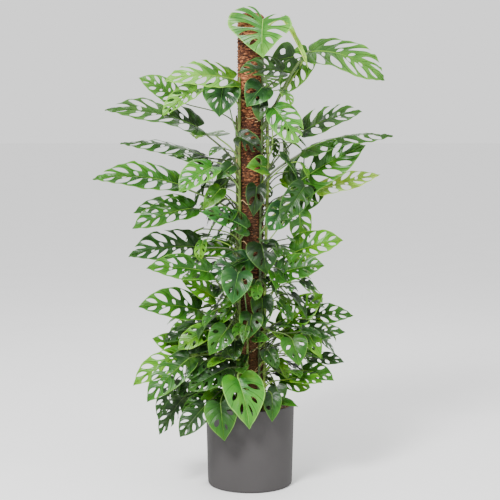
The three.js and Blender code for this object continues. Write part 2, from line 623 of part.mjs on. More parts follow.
// Leaves small or far back enough to be one body with the stem that they grow on.
const STEM_LEAVES = [
  ['crown', 1225, [130, 34, 1300], [55, 4, 1280], 95, [20, 12], 30, 10, 'h/hO', 'heart'],
  ['right', 1130, [175, 66, 1315], [92, 48, 1185], 82, [20, 25], 30, 14, 'h/hh', 'oval'],
  ['crown', 1135, [30, -72, 1165], [26, -84, 1105], 50, [0, 14], 22, 10, '/h', 'heart'],
  ['right', 840, [205, 88, 905], [125, 78, 830], 84, [20, 30], 30, 12, 'h/h', 'oval'],
  ['right', 740, [150, 10, 835], [150, 0, 735], 72, [15, 15], 25, 12, 'L/L', 'oval'],
  ['right', 380, [190, -20, 392], [285, -42, 382], 58, [5, 58], 30, 2, 'h/h', 'oval'],
  ['right', 330, [160, -60, 362], [250, -100, 337], 72, [10, 55], 35, 14, 'h/h', 'oval'],
  ['right', 350, [178, -116, 473], [210, -130, 410], 50, [10, 16], 22, 10, 'h/h', 'heart'],
  ['right', 320, [78, -110, 320], [92, -124, 270], 60, [5, 16], 22, 10, '/h', 'heart'],
  ['right', 265, [88, -125, 280], [143, -150, 268], 34, [10, 60], 22, 10, '/', 'heart'],
  ['right', 300, [130, -95, 345], [215, -132, 337], 64, [10, 58], 30, 14, 'h/o', 'oval'],
  ['front', 390, [55, -110, 430], [65, -122, 380], 54, [5, 14], 22, 10, 'h/', 'heart'],
  ['left', 945, [-55, -84, 975], [-100, -104, 935], 48, [-10, 20], 25, 10, '/h', 'heart'],
  ['left', 880, [-90, -62, 905], [-140, -82, 845], 56, [-10, 20], 25, 10, 'h/', 'heart'],
  ['left', 440, [-62, -72, 500], [-140, -92, 510], 46, [-8, 60], 25, 10, '/h', 'oval'],
  ['left', 400, [-58, -72, 425], [-88, -86, 385], 36, [-8, 20], 22, 10, '/', 'heart'],
  ['left', 310, [-95, -90, 302], [-150, -112, 280], 40, [-10, 35], 25, 12, '/', 'heart'],
  ['left', 320, [-205, -90, 277], [-270, -122, 178], 60, [-20, 22], 28, 14, 'h/o', 'oval'],
  ['back_left', 920, [-115, -20, 962], [-245, -42, 1005], 60, [-8, 66], 30, 14, 'h/h', 'oval'],
  ['back_left', 380, [-195, -20, 418], [-295, -44, 455], 66, [-10, 30], 30, 14, 'h/h', 'oval'],
  ['back_left', 440, [-180, -40, 478], [-260, -62, 445], 54, [-15, 48], 30, 14, 'h/h', 'oval'],
  ['back_left', 1095, [-220, -10, 1175], [-330, -34, 1235], 74, [-15, 36], 35, 14, 'hh/h', 'oval'],
  ['back_left', 690, [-66, 14, 722], [-180, -8, 700], 72, [-10, 50], 30, 14, 'h/h', 'oval'],
  ['back_left', 640, [-110, 110, 720], [-190, 240, 700], 110, [-150, 45], 35, 12, 'h/h', 'oval'],
  ['back_left', 830, [-90, 100, 900], [-130, 260, 905], 120, [-165, 48], 35, 12, 'h/h', 'oval'],
  ['back_left', 1000, [-100, 70, 1060], [-170, 200, 1050], 110, [-150, 45], 35, 12, 'h/h', 'oval'],
  ['back_left', 400, [-70, 110, 470], [-120, 250, 440], 105, [-160, 45], 35, 12, 'h/h', 'oval'],
  ['back_right', 1180, [40, 100, 1240], [60, 240, 1200], 110, [170, 40], 35, 12, 'h/h', 'oval'],
  ['back_right', 1020, [100, 90, 1080], [170, 220, 1060], 115, [150, 45], 35, 12, 'h/h', 'oval'],
  ['back_right', 780, [60, 110, 850], [80, 270, 820], 120, [178, 45], 35, 12, 'h/h', 'oval'],
  ['back_right', 560, [110, 90, 640], [190, 220, 620], 110, [150, 45], 35, 12, 'h/h', 'oval'],
  ['back_right', 360, [80, 110, 430], [120, 250, 400], 110, [160, 45], 35, 12, 'h/h', 'oval'],
];

// ---------------------------------------------------------------- the plant, put together
addPiece('pot', makePot(), 0x6b686a, 0.6);
addPiece('soil', makeSoil(), 0x33241b, 0.95);
addPiece('pole_stake', makeStake(), 0x9c7b54, 0.8);
addPiece('pole_coir', makeCoir(), 0x7a4f35, 0.95);

for (const name of Object.keys(STEMS)) {
  let stem = stemSolid(name, 0);
  STEM_LEAVES.forEach((row, order) => {
    if (row[0] === name) stem = stem.add(makeLeaf(describeLeaf(row, order + STEM_LEAF_ORDER)));
  });
  addPiece(`stem_${name}`, largestBody(stem), ...GREEN.stem);
}

Object.entries(LEAVES).forEach(([name, [...row]], order) => {
  const tone = row.pop();
  const leaf = describeLeaf(row, order, name);
  const body = largestBody(makeLeaf(leaf).subtract(stemSolid(leaf.stem, GAP)));
  addPiece(`leaf_${name}`, body, ...GREEN[tone]);
});

export default plant;
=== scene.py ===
"""Monstera adansonii climbing a coir pole, in its round pot: the dressed model.

Millimetres and +Z up while shapes are worked out, metres in Blender. The front of the plant faces -Y.
"""
import math

import bpy
import numpy as np
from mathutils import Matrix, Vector, noise
from mathutils.geometry import delaunay_2d_cdt


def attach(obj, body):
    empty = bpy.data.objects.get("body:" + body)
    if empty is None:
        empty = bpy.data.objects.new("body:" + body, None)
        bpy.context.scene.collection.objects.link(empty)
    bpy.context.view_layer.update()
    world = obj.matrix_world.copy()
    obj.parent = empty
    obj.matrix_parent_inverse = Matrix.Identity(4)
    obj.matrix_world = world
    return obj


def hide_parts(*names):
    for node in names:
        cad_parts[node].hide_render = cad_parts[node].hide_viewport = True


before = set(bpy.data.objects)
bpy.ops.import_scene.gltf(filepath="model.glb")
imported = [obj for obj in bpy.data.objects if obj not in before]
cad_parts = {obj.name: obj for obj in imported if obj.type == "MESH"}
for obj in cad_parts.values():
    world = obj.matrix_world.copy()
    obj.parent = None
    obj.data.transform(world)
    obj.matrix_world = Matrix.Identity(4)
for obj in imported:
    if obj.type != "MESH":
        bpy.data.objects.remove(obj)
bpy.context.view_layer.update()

MM = 0.001


def table(*rows):
    """The rows of a table of words and whole numbers."""
    return [[int(word) if word.lstrip("-").isdigit() else word for word in row.split()] for row in rows]


# ---------------------------------------------------------------- sizes shared with the solids
POT = {"height": 250, "rim": 135, "foot": 129, "edge": 8, "wall": 3.5, "floor": 5, "lip": 4}
SOIL_LEVEL = 232
POLE = {"x": 2, "radius": 39, "ridge": 2.2, "foot": 60, "top": 1427}
STAKE = {"radius": 15.3, "top": 1395.3}
GAP = 0.3
STEM_FOOT = 150
LEAF_SEED = 40
STEM_LEAF_ORDER = 60
LARGE_LEAF = 140
WAVE = {"large": 0.08, "small": 0.06, "turns": 9, "apart": 1.3}
DROOP = 0.35
PETIOLE = {"large": 3.0, "small": 2.1, "leave": 0.25, "behind": 0.1, "out": 0.22, "lift": 0.2, "spread": 0.2}
STOUT_PETIOLES = {"crown_3": 5.2, "right_3": 3.8, "right_4": 3.6, "left_4": 3.4, "left_6": 3.4}

# Climbing stems: radius, then [degrees from the front, clear of the pole, height] on the way up.
STEMS = {
    "left": (5.5, [(-50, 0, STEM_FOOT), (-47, 1, 420), (-43, 0, 760), (-46, 1, 1000), (-44, 0, 1238)]),
    "crown": (4.5, [(28, 0, STEM_FOOT), (34, 1, 430), (40, 0, 800), (46, 1, 1100), (50, 0, 1372)]),
    "right": (5.5, [(62, 0, STEM_FOOT), (60, 1, 380), (66, 2, 700), (76, 6, 950), (72, 3, 1190)]),
    "front": (4.0, [(-10, 1, STEM_FOOT), (-14, 0, 330), (-8, 1, 520)]),
    "back_left": (5.0, [(-118, 0, STEM_FOOT), (-112, 1, 500), (-120, 0, 800), (-116, 1, 1130)]),
    "back_right": (5.0, [(150, 0, STEM_FOOT), (144, 1, 480), (152, 0, 860), (148, 1, 1240)]),
}

# Leaves: name, stem, height of the petiole's foot, notch (x y z), tip (x y z), width, where the upper side
# faces (azimuth from the front, elevation), bend along the midrib, fold about it, openings on either side of
# the midrib, outline (two where the halves differ), green.
LEAVES = table(
    "crown_1 crown 1325 38 -78 1402 38 -104 1290 200 -22 20 36 18 OOWWH/HWOH lobed/wing pale",
    "crown_2 crown 1362 98 -50 1403 168 -108 1261 30 60 50 12 34 / oval yellow",
    "crown_3 crown 1085 180 -10 1312 395 -70 1225 132 12 40 70 4 hhhh/hhoo broad mid",
    "crown_4 crown 1190 95 -75 1252 -35 -100 1247 84 -10 42 40 22 hh/ho oval dark",
    "crown_5 crown 1150 35 -66 1205 -10 -84 1148 88 -5 15 45 20 L/h heart blue",
    "right_1 right 1000 72 -58 1146 142 -78 1042 96 10 22 35 10 HH/HO broad pale",
    "right_2 right 960 165 0 1080 335 -20 1135 104 5 50 35 12 hhh/OoO oval dark",
    "right_3 crown 905 165 -52 1024 420 -94 1062 88 0 68 40 -26 hhhh/hhh oval dark",
    "right_4 crown 810 130 0 912 345 -34 1035 136 25 36 40 14 hHhh/HHhh oval mid",
    "right_5 right 800 215 50 900 395 30 945 78 10 50 10 6 hhh/hhh oval yellow",
    "right_6 crown 830 160 -98 915 90 -124 816 76 10 20 45 20 HHH/HHH oval dark",
    "right_7 crown 770 100 -82 855 55 -102 785 76 10 15 45 18 HHH/HHH oval blue",
    "right_8 right 545 130 -60 716 275 -98 757 110 5 46 28 14 hhh/hhh oval bright",
    "right_9 crown 590 88 -134 664 216 -176 690 100 0 42 35 14 hh/hh oval mid",
    "right_10 crown 425 105 -24 484 220 -50 592 92 20 40 50 16 HW/HW oval bright",
    "right_11 right 440 162 20 508 315 0 517 84 10 50 35 8 hhh/hh oval mid",
    "right_12 crown 395 140 -50 466 285 -84 480 78 5 54 30 4 hh/hh oval dark",
    "right_13 front 440 124 -142 468 144 -164 393 80 8 18 45 18 hh/hh heart mid",
    "pole_1 left 1000 -35 -70 1062 35 -84 1020 62 -10 30 30 14 O/h oval dark",
    "pole_2 crown 920 45 -76 972 -12 -96 972 66 -5 28 60 22 L/L heart bright",
    "pole_3 crown 860 20 -64 912 10 -80 825 62 0 12 45 24 L/L heart dark",
    "pole_4 left 740 -10 -66 790 -145 -110 842 76 -15 40 40 12 hh/hh oval blue",
    "pole_5 crown 690 35 -82 742 50 -104 655 100 0 14 50 18 hH/HH heart dark",
    "pole_6 left 640 -5 -68 696 -125 -90 640 84 -10 25 30 12 hh/hh oval blue",
    "pole_7 front 500 -35 -156 664 -50 -174 577 92 -5 14 50 20 hH/HH heart blue",
    "pole_8 crown 520 36 -76 580 40 -94 493 70 0 12 45 22 L/L heart mid",
    "pole_9 front 470 5 -110 535 -5 -128 468 72 0 14 45 22 h/hh heart mid",
    "front_1 front 330 -33 -166 352 -2 -198 212 130 22 18 40 20 hh/HhH heart pale",
    "front_2 left 260 -86 -180 282 -74 -202 178 98 -5 18 40 18 h/hh heart mid",
    "front_3 front 265 65 -146 302 65 -160 225 56 5 14 40 18 h/ heart mid",
    "left_1 left 1195 -50 -60 1230 -250 -112 1222 116 -10 46 42 10 OoOh/hhh oval bright",
    "left_2 left 1150 -155 -84 1200 -255 -124 1120 72 -20 40 30 22 hh/h oval bright",
    "left_3 left 1060 -80 -74 1203 -90 -92 1118 112 -5 15 45 18 hhh/hhh heart blue",
    "left_4 left 965 -155 -70 1090 -420 -142 1137 114 -8 50 40 12 hoho/hhhh oval dark",
    "left_5 back_left 960 -140 -20 1005 -385 -60 1040 84 -5 66 34 -20 hhhh/hhh oval dark",
    "left_6 left 815 -210 -60 920 -460 -122 937 116 -8 50 38 12 hoho/hhhh oval mid",
    "left_7 left 905 -112 -88 972 -205 -146 900 94 -20 30 45 18 hh/hh oval pale",
    "left_8 back_left 790 -175 0 845 -350 -30 832 94 -5 55 40 14 hhh/hhh oval mid",
    "left_9 left 800 -172 -72 850 -345 -122 792 98 -10 44 35 16 hhh/hhh oval mid",
    "left_10 left 700 -160 -40 732 -360 -92 707 118 -8 44 40 20 HoHo/hhh oval dark",
    "left_11 left 490 -122 -142 668 -300 -190 684 96 -8 44 30 12 hhh/hhh oval mid",
    "left_12 left 480 -155 -60 545 -330 -122 562 114 -8 42 38 18 HhHh/hhh oval mid",
    "left_13 left 560 -105 -90 585 -200 -112 637 66 -8 40 30 14 hh/h oval bright",
    "left_14 left 500 -70 -150 497 -120 -170 425 76 -8 18 45 20 hh/hh heart mid",
    "left_15 left 462 -130 -112 490 -212 -142 438 68 -12 32 30 12 hh/h oval bright",
    "left_16 left 390 -195 -80 410 -345 -142 330 94 -20 42 35 16 hhh/hh oval bright",
    "left_17 left 360 -180 -142 412 -300 -198 293 94 -18 28 32 12 hh/hhh oval mid",
    "left_18 left 290 -135 -152 270 -205 -194 188 76 -12 25 28 12 hh/hh oval dark",
    "left_19 front 350 -65 -134 382 -182 -174 320 88 -12 34 30 12 hh/hh oval dark",
)

# Small and far leaves, one piece with the stem that they grow on: no names, and their greens take turns.
STEM_LEAVES = table(
    "crown 1225 130 34 1300 55 4 1280 95 20 12 30 10 h/hO heart",
    "right 1130 175 66 1315 92 48 1185 82 20 25 30 14 h/hh oval",
    "crown 1135 30 -72 1165 26 -84 1105 50 0 14 22 10 /h heart",
    "right 840 205 88 905 125 78 830 84 20 30 30 12 h/h oval",
    "right 740 150 10 835 150 0 735 72 15 15 25 12 L/L oval",
    "right 380 190 -20 392 285 -42 382 58 5 58 30 2 h/h oval",
    "right 330 160 -60 362 250 -100 337 72 10 55 35 14 h/h oval",
    "right 350 178 -116 473 210 -130 410 50 10 16 22 10 h/h heart",
    "right 320 78 -110 320 92 -124 270 60 5 16 22 10 /h heart",
    "right 265 88 -125 280 143 -150 268 34 10 60 22 10 / heart",
    "right 300 130 -95 345 215 -132 337 64 10 58 30 14 h/o oval",
    "front 390 55 -110 430 65 -122 380 54 5 14 22 10 h/ heart",
    "left 945 -55 -84 975 -100 -104 935 48 -10 20 25 10 /h heart",
    "left 880 -90 -62 905 -140 -82 845 56 -10 20 25 10 h/ heart",
    "left 440 -62 -72 500 -140 -92 510 46 -8 60 25 10 /h oval",
    "left 400 -58 -72 425 -88 -86 385 36 -8 20 22 10 / heart",
    "left 310 -95 -90 302 -150 -112 280 40 -10 35 25 12 / heart",
    "left 320 -205 -90 277 -270 -122 178 60 -20 22 28 14 h/o oval",
    "back_left 920 -115 -20 962 -245 -42 1005 60 -8 66 30 14 h/h oval",
    "back_left 380 -195 -20 418 -295 -44 455 66 -10 30 30 14 h/h oval",
    "back_left 440 -180 -40 478 -260 -62 445 54 -15 48 30 14 h/h oval",
    "back_left 1095 -220 -10 1175 -330 -34 1235 74 -15 36 35 14 hh/h oval",
    "back_left 690 -66 14 722 -180 -8 700 72 -10 50 30 14 h/h oval",
    "back_left 640 -110 110 720 -190 240 700 110 -150 45 35 12 hh/hh oval",
    "back_left 830 -90 100 900 -130 260 905 120 -165 48 35 12 hh/hh oval",
    "back_left 1000 -100 70 1060 -170 200 1050 110 -150 45 35 12 hh/hh oval",
    "back_left 400 -70 110 470 -120 250 440 105 -160 45 35 12 hh/hh oval",
    "back_right 1180 40 100 1240 60 240 1200 110 170 40 35 12 hh/hh oval",
    "back_right 1020 100 90 1080 170 220 1060 115 150 45 35 12 hh/hh oval",
    "back_right 780 60 110 850 80 270 820 120 178 45 35 12 hh/hh oval",
    "back_right 560 110 90 640 190 220 620 110 150 45 35 12 hh/hh oval",
    "back_right 360 80 110 430 120 250 400 110 160 45 35 12 hh/hh oval",
)

# ---------------------------------------------------------------- what only the dressed model has
BLADE = 0.6                  # how thick a blade is

# Half outlines in thousandths, along the midrib and across in half widths. The notch at the petiole (0 0) and
# the tip (1000 0) are added.
OUTLINES = table(
    "oval -45 170 -75 420 -35 700 70 900 220 1000 380 1000 550 930 700 760 830 490 930 190",
    "broad -40 160 -60 400 -20 660 100 860 260 970 440 1000 620 930 770 740 880 460 950 200",
    "lobed -160 100 -360 300 -400 580 -280 840 -70 980 150 1000 340 840 540 580 730 350 880 140",
    "wing -30 120 -60 300 -20 550 70 800 200 960 340 1000 480 860 600 600 750 380 880 170",
    "heart -70 150 -130 400 -100 700 10 920 170 1000 350 950 530 770 700 520 840 260 930 100",
)
OUTLINE = {name: np.array([0, 0, *spots, 1000, 0]).reshape(-1, 2) / 1000 for name, *spots in OUTLINES}

# Spaces between the side veins: where the first and last start on the midrib and where they meet the margin,
# as shares of either, and how much wider than usual their openings are.
SPACES = {
    "oval": ((0.02, 0.76), (0.45, 0.93), 1),
    "broad": ((0.02, 0.76), (0.45, 0.93), 1),
    "heart": ((0.03, 0.46), (0.5, 0.9), 1),
    "lobed": ((0.0, 0.56), (0.2, 0.88), 1.45),
    "wing": ((0.0, 0.56), (0.32, 0.88), 1.25),
}
SCALLOP = 0.012              # how far the margin bulges at its side veins, in half widths
VEIN_BOW = 0.07              # how far a side vein arches back before it sweeps to the tip, in its own lengths
SPACE_STEP = (16, 0.14)      # width of a space of a leaf: in mm, and the share of the leaf's length to add

# What one letter opens in its space: from, to (shares of the way out), half width, open to the margin.
OPENINGS = {
    "h": (0.22, 0.92, 0.36, False),
    "H": (0.16, 0.94, 0.41, False),
    "W": (0.13, 0.96, 0.5, False),
    "o": (0.28, 1.0, 0.32, True),
    "O": (0.2, 1.0, 0.36, True),
    "L": (0.1, 0.92, 0.3, False),
}
UNEVEN_OPENINGS = "hHW"      # the letters whose openings differ from leaf to leaf and from space to space
# The smaller the leaf, the smaller its openings: shorter at both ends and thinner.
SMALL = {"grown": 170, "range": 90, "in": 0.06, "out": 0.07, "thin": 0.35}
# Heart-shaped leaves have short, wide openings half-way out.
HEART = {"in": 0.1, "out": 0.17, "thin": 0.05}
# An opening's greatest half width: the share of its space, more where its vein stands square to the midrib,
# and at most this share of its own length.
ROOM = {"least": 0.25, "square": 0.75, "most": 0.62}
# A slit's mouth in the margin, in its half widths, is wider towards the tip, so that the finger behind it
# ends in a point. It flares from a share of the slit's way on, and the margin's points stay clear of it.
MOUTH = {"wide": 0.8, "ahead": 2.0, "flare": 5.5, "from": 0.6, "clear": 0.008}
# How much two openings of a leaf differ: place in spaces, both ends in vein lengths, and width as a share.
UNEVEN = {"place": 0.12, "ends": 0.05, "swell": 0.22}
# The small openings beside the midrib, between those of the spaces.
INNER = {"from": 0.06, "to": 0.32, "swell": 0.15, "least_length": 125, "left_out": -0.35, "steps": 4}
PROBE = 0.01                 # share of the margin over which its run is measured

# Triangles of a large and a small leaf, in mm. Inner points lie "grid" of these apart, and the distance of
# their rows and their least distance to an edge are shares of that.
MESH = {"large": 3.6, "small": 3.0, "grid": 1.45, "row": 0.87, "clear": 0.5}
QUILT = 0.02                 # how far the blade swells between two side veins, in leaf lengths
CURL = 0.006                 # height of the fine waves of the margin, in leaf lengths
GROOVE = {"deep": 0.7, "wide": 2.2}     # the midrib's groove in the upper side
MIDRIB = {"spots": 14, "foot": 0.62, "tip": 0.35, "sunk": 1.04}     # the rib that stands out of the underside

# The small leaves that fill the plant between those of the tables: how many, stem, lowest and highest petiole
# foot, sector (degrees from the front), shortest and longest blade, greens that take turns.
THICKET = table(
    "15 left 285 560 -112 -38 62 96 mid bright dark",
    "12 left 560 860 -112 -42 60 100 dark mid bright",
    "5 left 860 1000 -112 -45 55 92 mid dark bright",
    "12 back_left 290 640 -172 -95 66 100 dark mid mid",
    "12 back_left 640 1000 -172 -95 62 104 mid dark dark",
    "12 right 285 560 40 110 62 96 bright mid dark",
    "9 right 560 900 44 112 60 100 mid bright dark",
    "4 right 900 1060 48 112 55 88 mid dark bright",
    "12 back_right 290 640 95 172 66 100 mid dark mid",
    "11 back_right 640 1200 95 172 62 104 dark mid dark",
    "6 crown 300 700 24 60 50 74 bright mid mid",
    "4 crown 1000 1300 20 100 50 78 mid dark bright",
    "5 front 300 480 -42 12 46 66 mid bright mid",
    "12 left 330 760 -56 -6 48 72 dark mid dark",
    "12 crown 330 740 0 52 46 68 dark mid dark",
    "12 back_left 380 1100 -170 -120 70 104 dark mid dark",
    "12 back_right 380 1150 150 200 70 104 dark mid dark",
    "12 left 290 480 -100 -35 80 112 mid dark bright",
    "7 right 290 480 40 95 72 104 mid bright dark",
)
# Leaves that hang out over the pot's rim: as the other leaves, without names.
HANGING_LEAVES = table(
    "left 320 -226 -55 328 -277 -62 210 60 -20 24 28 12 hh/hh oval dark",
    "left 300 -84 -95 293 -205 -122 250 66 -10 50 30 12 hh/hh oval mid",
    "left 335 -135 -40 332 -241 -60 277 66 -10 42 30 12 hh/hh oval dark",
    "back_left 300 -193 -25 316 -223 -40 225 56 -12 26 28 12 hh/hh oval dark",
    "left 290 -150 -66 298 -205 -84 236 52 -14 34 28 12 h/h oval dark",
)
# How far from the pole's axis a leaf of the thicket may reach, at heights above the floor.
THICKET_REACH = (
    [260, 340, 450, 650, 850, 1050, 1200, 1340, 1440],
    [175, 250, 268, 228, 215, 190, 150, 105, 60],
)
THICKET_FRONT = -214         # no leaf of the thicket comes further forward
THICKET_CLEAR = {"pole": 50, "rim": 6, "leaf": 9}       # least distances from its measured spots
THICKET_TRIES = 60
THICKET_ORDER = 200
THICKET_PATTERNS = ("hh/hh", "hh/h", "h/hh", "hhh/hh", "ho/hh")
THICKET_SHAPES = ("oval", "heart", "oval", "broad")


# ---------------------------------------------------------------- small helpers
def seeded(seed):
    """The draw that the solids use too, so that both leaf forms agree."""
    state = seed * 7919 + 17
    while True:
        state = (state * 48271) % 2147483647
        yield state / 2147483647


def between(draw, low, high):
    return low + (high - low) * next(draw)


def unit(vector):
    return vector / np.linalg.norm(vector)


def turn_direction(azimuth, elevation=0.0):
    """The direction that is azimuth degrees round from the front and elevation degrees up."""
    azimuth, elevation = math.radians(azimuth), math.radians(elevation)
    flat = math.cos(elevation)
    return np.array([math.sin(azimuth) * flat, -math.cos(azimuth) * flat, math.sin(elevation)])


def lumps(x, y, z, kinds):
    """Uneven ground: the sum of several noises, each as (seed, width, height, strength)."""
    total = 0.0
    for seed, width, tall, strength in kinds:
        spot = Vector((x / width + seed * 3.1, y / width + seed * 7.7, z / tall + seed))
        total += noise.noise(spot) * strength
    return total


def circle(sides):
    return np.arange(sides) * 2 * math.pi / sides


def around(x, radius, turns, level):
    """One point or many round the upright axis at x. Radius and level are one number or one for each."""
    spots = np.broadcast_arrays(x + radius * np.cos(turns), radius * np.sin(turns), level)
    return np.stack(spots, axis=-1)


def ring_faces(rows, sides):
    """Four-cornered faces between rings of points laid one after the other."""
    row, column = np.divmod(np.arange((rows - 1) * sides), sides)
    low, high, following = row * sides, (row + 1) * sides, (column + 1) % sides
    return np.stack([low + column, low + following, high + following, high + column], axis=1)


def run_along(path):
    """How far along the path each of its points lies."""
    return np.concatenate([[0], np.cumsum(np.linalg.norm(np.diff(path, axis=0), axis=1))])


class Skin:
    """Collects patches of faces and makes one mesh piece of them."""

    def __init__(self):
        self.points, self.faces, self.slots, self.veins, self.blade = [], [], [], [], []
        self.count = 0

    def add(self, points, faces, slot, veins=None, blade=None):
        """Adds points and the faces between them. Veins and blade are two numbers for every corner."""
        self.span(faces, slot, self.count, veins, blade)
        self.points.append(np.asarray(points, float))
        self.count += len(points)

    def span(self, faces, slot, first, veins=None, blade=None):
        """Adds faces whose points are counted from first on."""
        faces = np.asarray(faces, int)
        blank = np.zeros((faces.size, 2))
        self.faces.extend((faces + first).tolist())
        self.slots.extend([slot] * len(faces))
        self.veins.append(blank if veins is None else veins.reshape(-1, 2))
        self.blade.append(blank if blade is None else blade.reshape(-1, 2))

    def turned(self, rings, hubs, slot, veins=None, blade=None):
        """Skins rings of points one after the other, and closes the first and the last round its hub."""
        rows, sides = np.shape(rings)[:2]
        first = self.count
        self.add(np.vstack([*rings, hubs]), ring_faces(rows, sides), slot, veins, blade)
        ring = np.arange(sides)
        following = np.roll(ring, -1)
        last, hub = (rows - 1) * sides, np.full(sides, rows * sides)
        for fan in ((following, ring, hub), (ring + last, following + last, hub + 1)):
            self.span(np.stack(fan, axis=1), slot, first)

    def piece(self, name, materials, sharp=50):
        mesh = bpy.data.meshes.new(name)
        mesh.from_pydata((np.concatenate(self.points) * MM).tolist(), [], self.faces)
        for label, corners in (("Veins", self.veins), ("Blade", self.blade)):
            layer = mesh.uv_layers.new(name=label)
            layer.data.foreach_set("uv", np.concatenate(corners).ravel())
        mesh.polygons.foreach_set("material_index", self.slots)
        mesh.polygons.foreach_set("use_smooth", [True] * len(self.faces))
        for material in materials:
            mesh.materials.append(material)
        mesh.set_sharp_from_angle(angle=math.radians(sharp))
        mesh.update()
        made = bpy.data.objects.new(name, mesh)
        bpy.context.scene.collection.objects.link(made)
        return made


TUBE_END = {"out": 0.5, "round": 0.45}      # the dome at a rod's end, in the rod's radii


def tube(skin, path, radii, sides, slot):
    """A round rod along path, closed by a small dome at either end. Blade runs (round, along in mm)."""
    path = np.asarray(path, float)
    tangents = np.gradient(path, axis=0)
    tangents /= np.linalg.norm(tangents, axis=1)[:, None]
    first = path[0] - tangents[0] * radii[0] * TUBE_END["out"]
    last = path[-1] + tangents[-1] * radii[-1] * TUBE_END["out"]
    path = np.vstack([first, path, last])
    tangents = np.vstack([tangents[:1], tangents, tangents[-1:]])
    radii = np.concatenate([[radii[0] * TUBE_END["round"]], radii, [radii[-1] * TUBE_END["round"]]])
    across = np.cross(tangents[0], [0.31, 0.17, 0.93])
    if np.linalg.norm(across) < 0.1:
        across = np.cross(tangents[0], [1.0, 0.0, 0.0])
    turns = circle(sides)
    rings = []
    for centre, along, radius in zip(path, tangents, radii):
        across = unit(across - along * across.dot(along))
        up = np.cross(along, across)
        rings.append(centre + (np.outer(np.cos(turns), across) + np.outer(np.sin(turns), up)) * radius)
    row, column = np.divmod(np.arange((len(path) - 1) * sides), sides)
    rounds = np.stack([column, column + 1, column + 1, column], axis=1) / sides
    runs = run_along(path)[np.stack([row, row, row + 1, row + 1], axis=1)]
    skin.turned(rings, [path[0], path[-1]], slot, blade=np.stack([rounds, runs], axis=2))


def bezier(points, steps):
    a, b, c, d = (np.asarray(point, float) for point in points)
    share = np.linspace(0, 1, steps)[:, None]
    rest = 1 - share
    return rest ** 3 * a + 3 * rest ** 2 * share * b + 3 * rest * share ** 2 * c + share ** 3 * d


# ---------------------------------------------------------------- materials
class Level:
    """A number that varies over a surface, so that shader maths reads as sums."""

    def __init__(self, look, socket):
        self.look, self.socket = look, socket

    def maths(self, operation, *terms):
        return self.look.level("ShaderNodeMath", dict(enumerate(terms)), operation=operation)

    def __add__(self, other):
        return self.maths("ADD", self, other)

    __radd__ = __add__

    def __sub__(self, other):
        return self.maths("SUBTRACT", self, other)

    def __rsub__(self, other):
        return self.maths("SUBTRACT", other, self)

    def __mul__(self, other):
        return self.maths("MULTIPLY", self, other)

    __rmul__ = __mul__

    def __truediv__(self, other):
        return self.maths("DIVIDE", self, other)

    def __abs__(self):
        return self.maths("ABSOLUTE", self)

    def off_half(self):
        """How far the number lies from half-way between the two whole numbers round it."""
        return abs(self.maths("FRACT", self) - 0.5)

    def clip(self):
        clipped = self + 0.0
        clipped.socket.node.use_clamp = True
        return clipped

    def under(self, edge, soft):
        """1 below edge and 0 above it, over a soft step."""
        return ((edge - self) / soft + 0.5).clip()


def linear(colour):
    """A colour given in 0 to 255 screen values, as Blender mixes it."""
    shares = [channel / 255 for channel in colour]
    return tuple(s / 12.92 if s <= 0.04045 else ((s + 0.055) / 1.055) ** 2.4 for s in shares) + (1.0,)


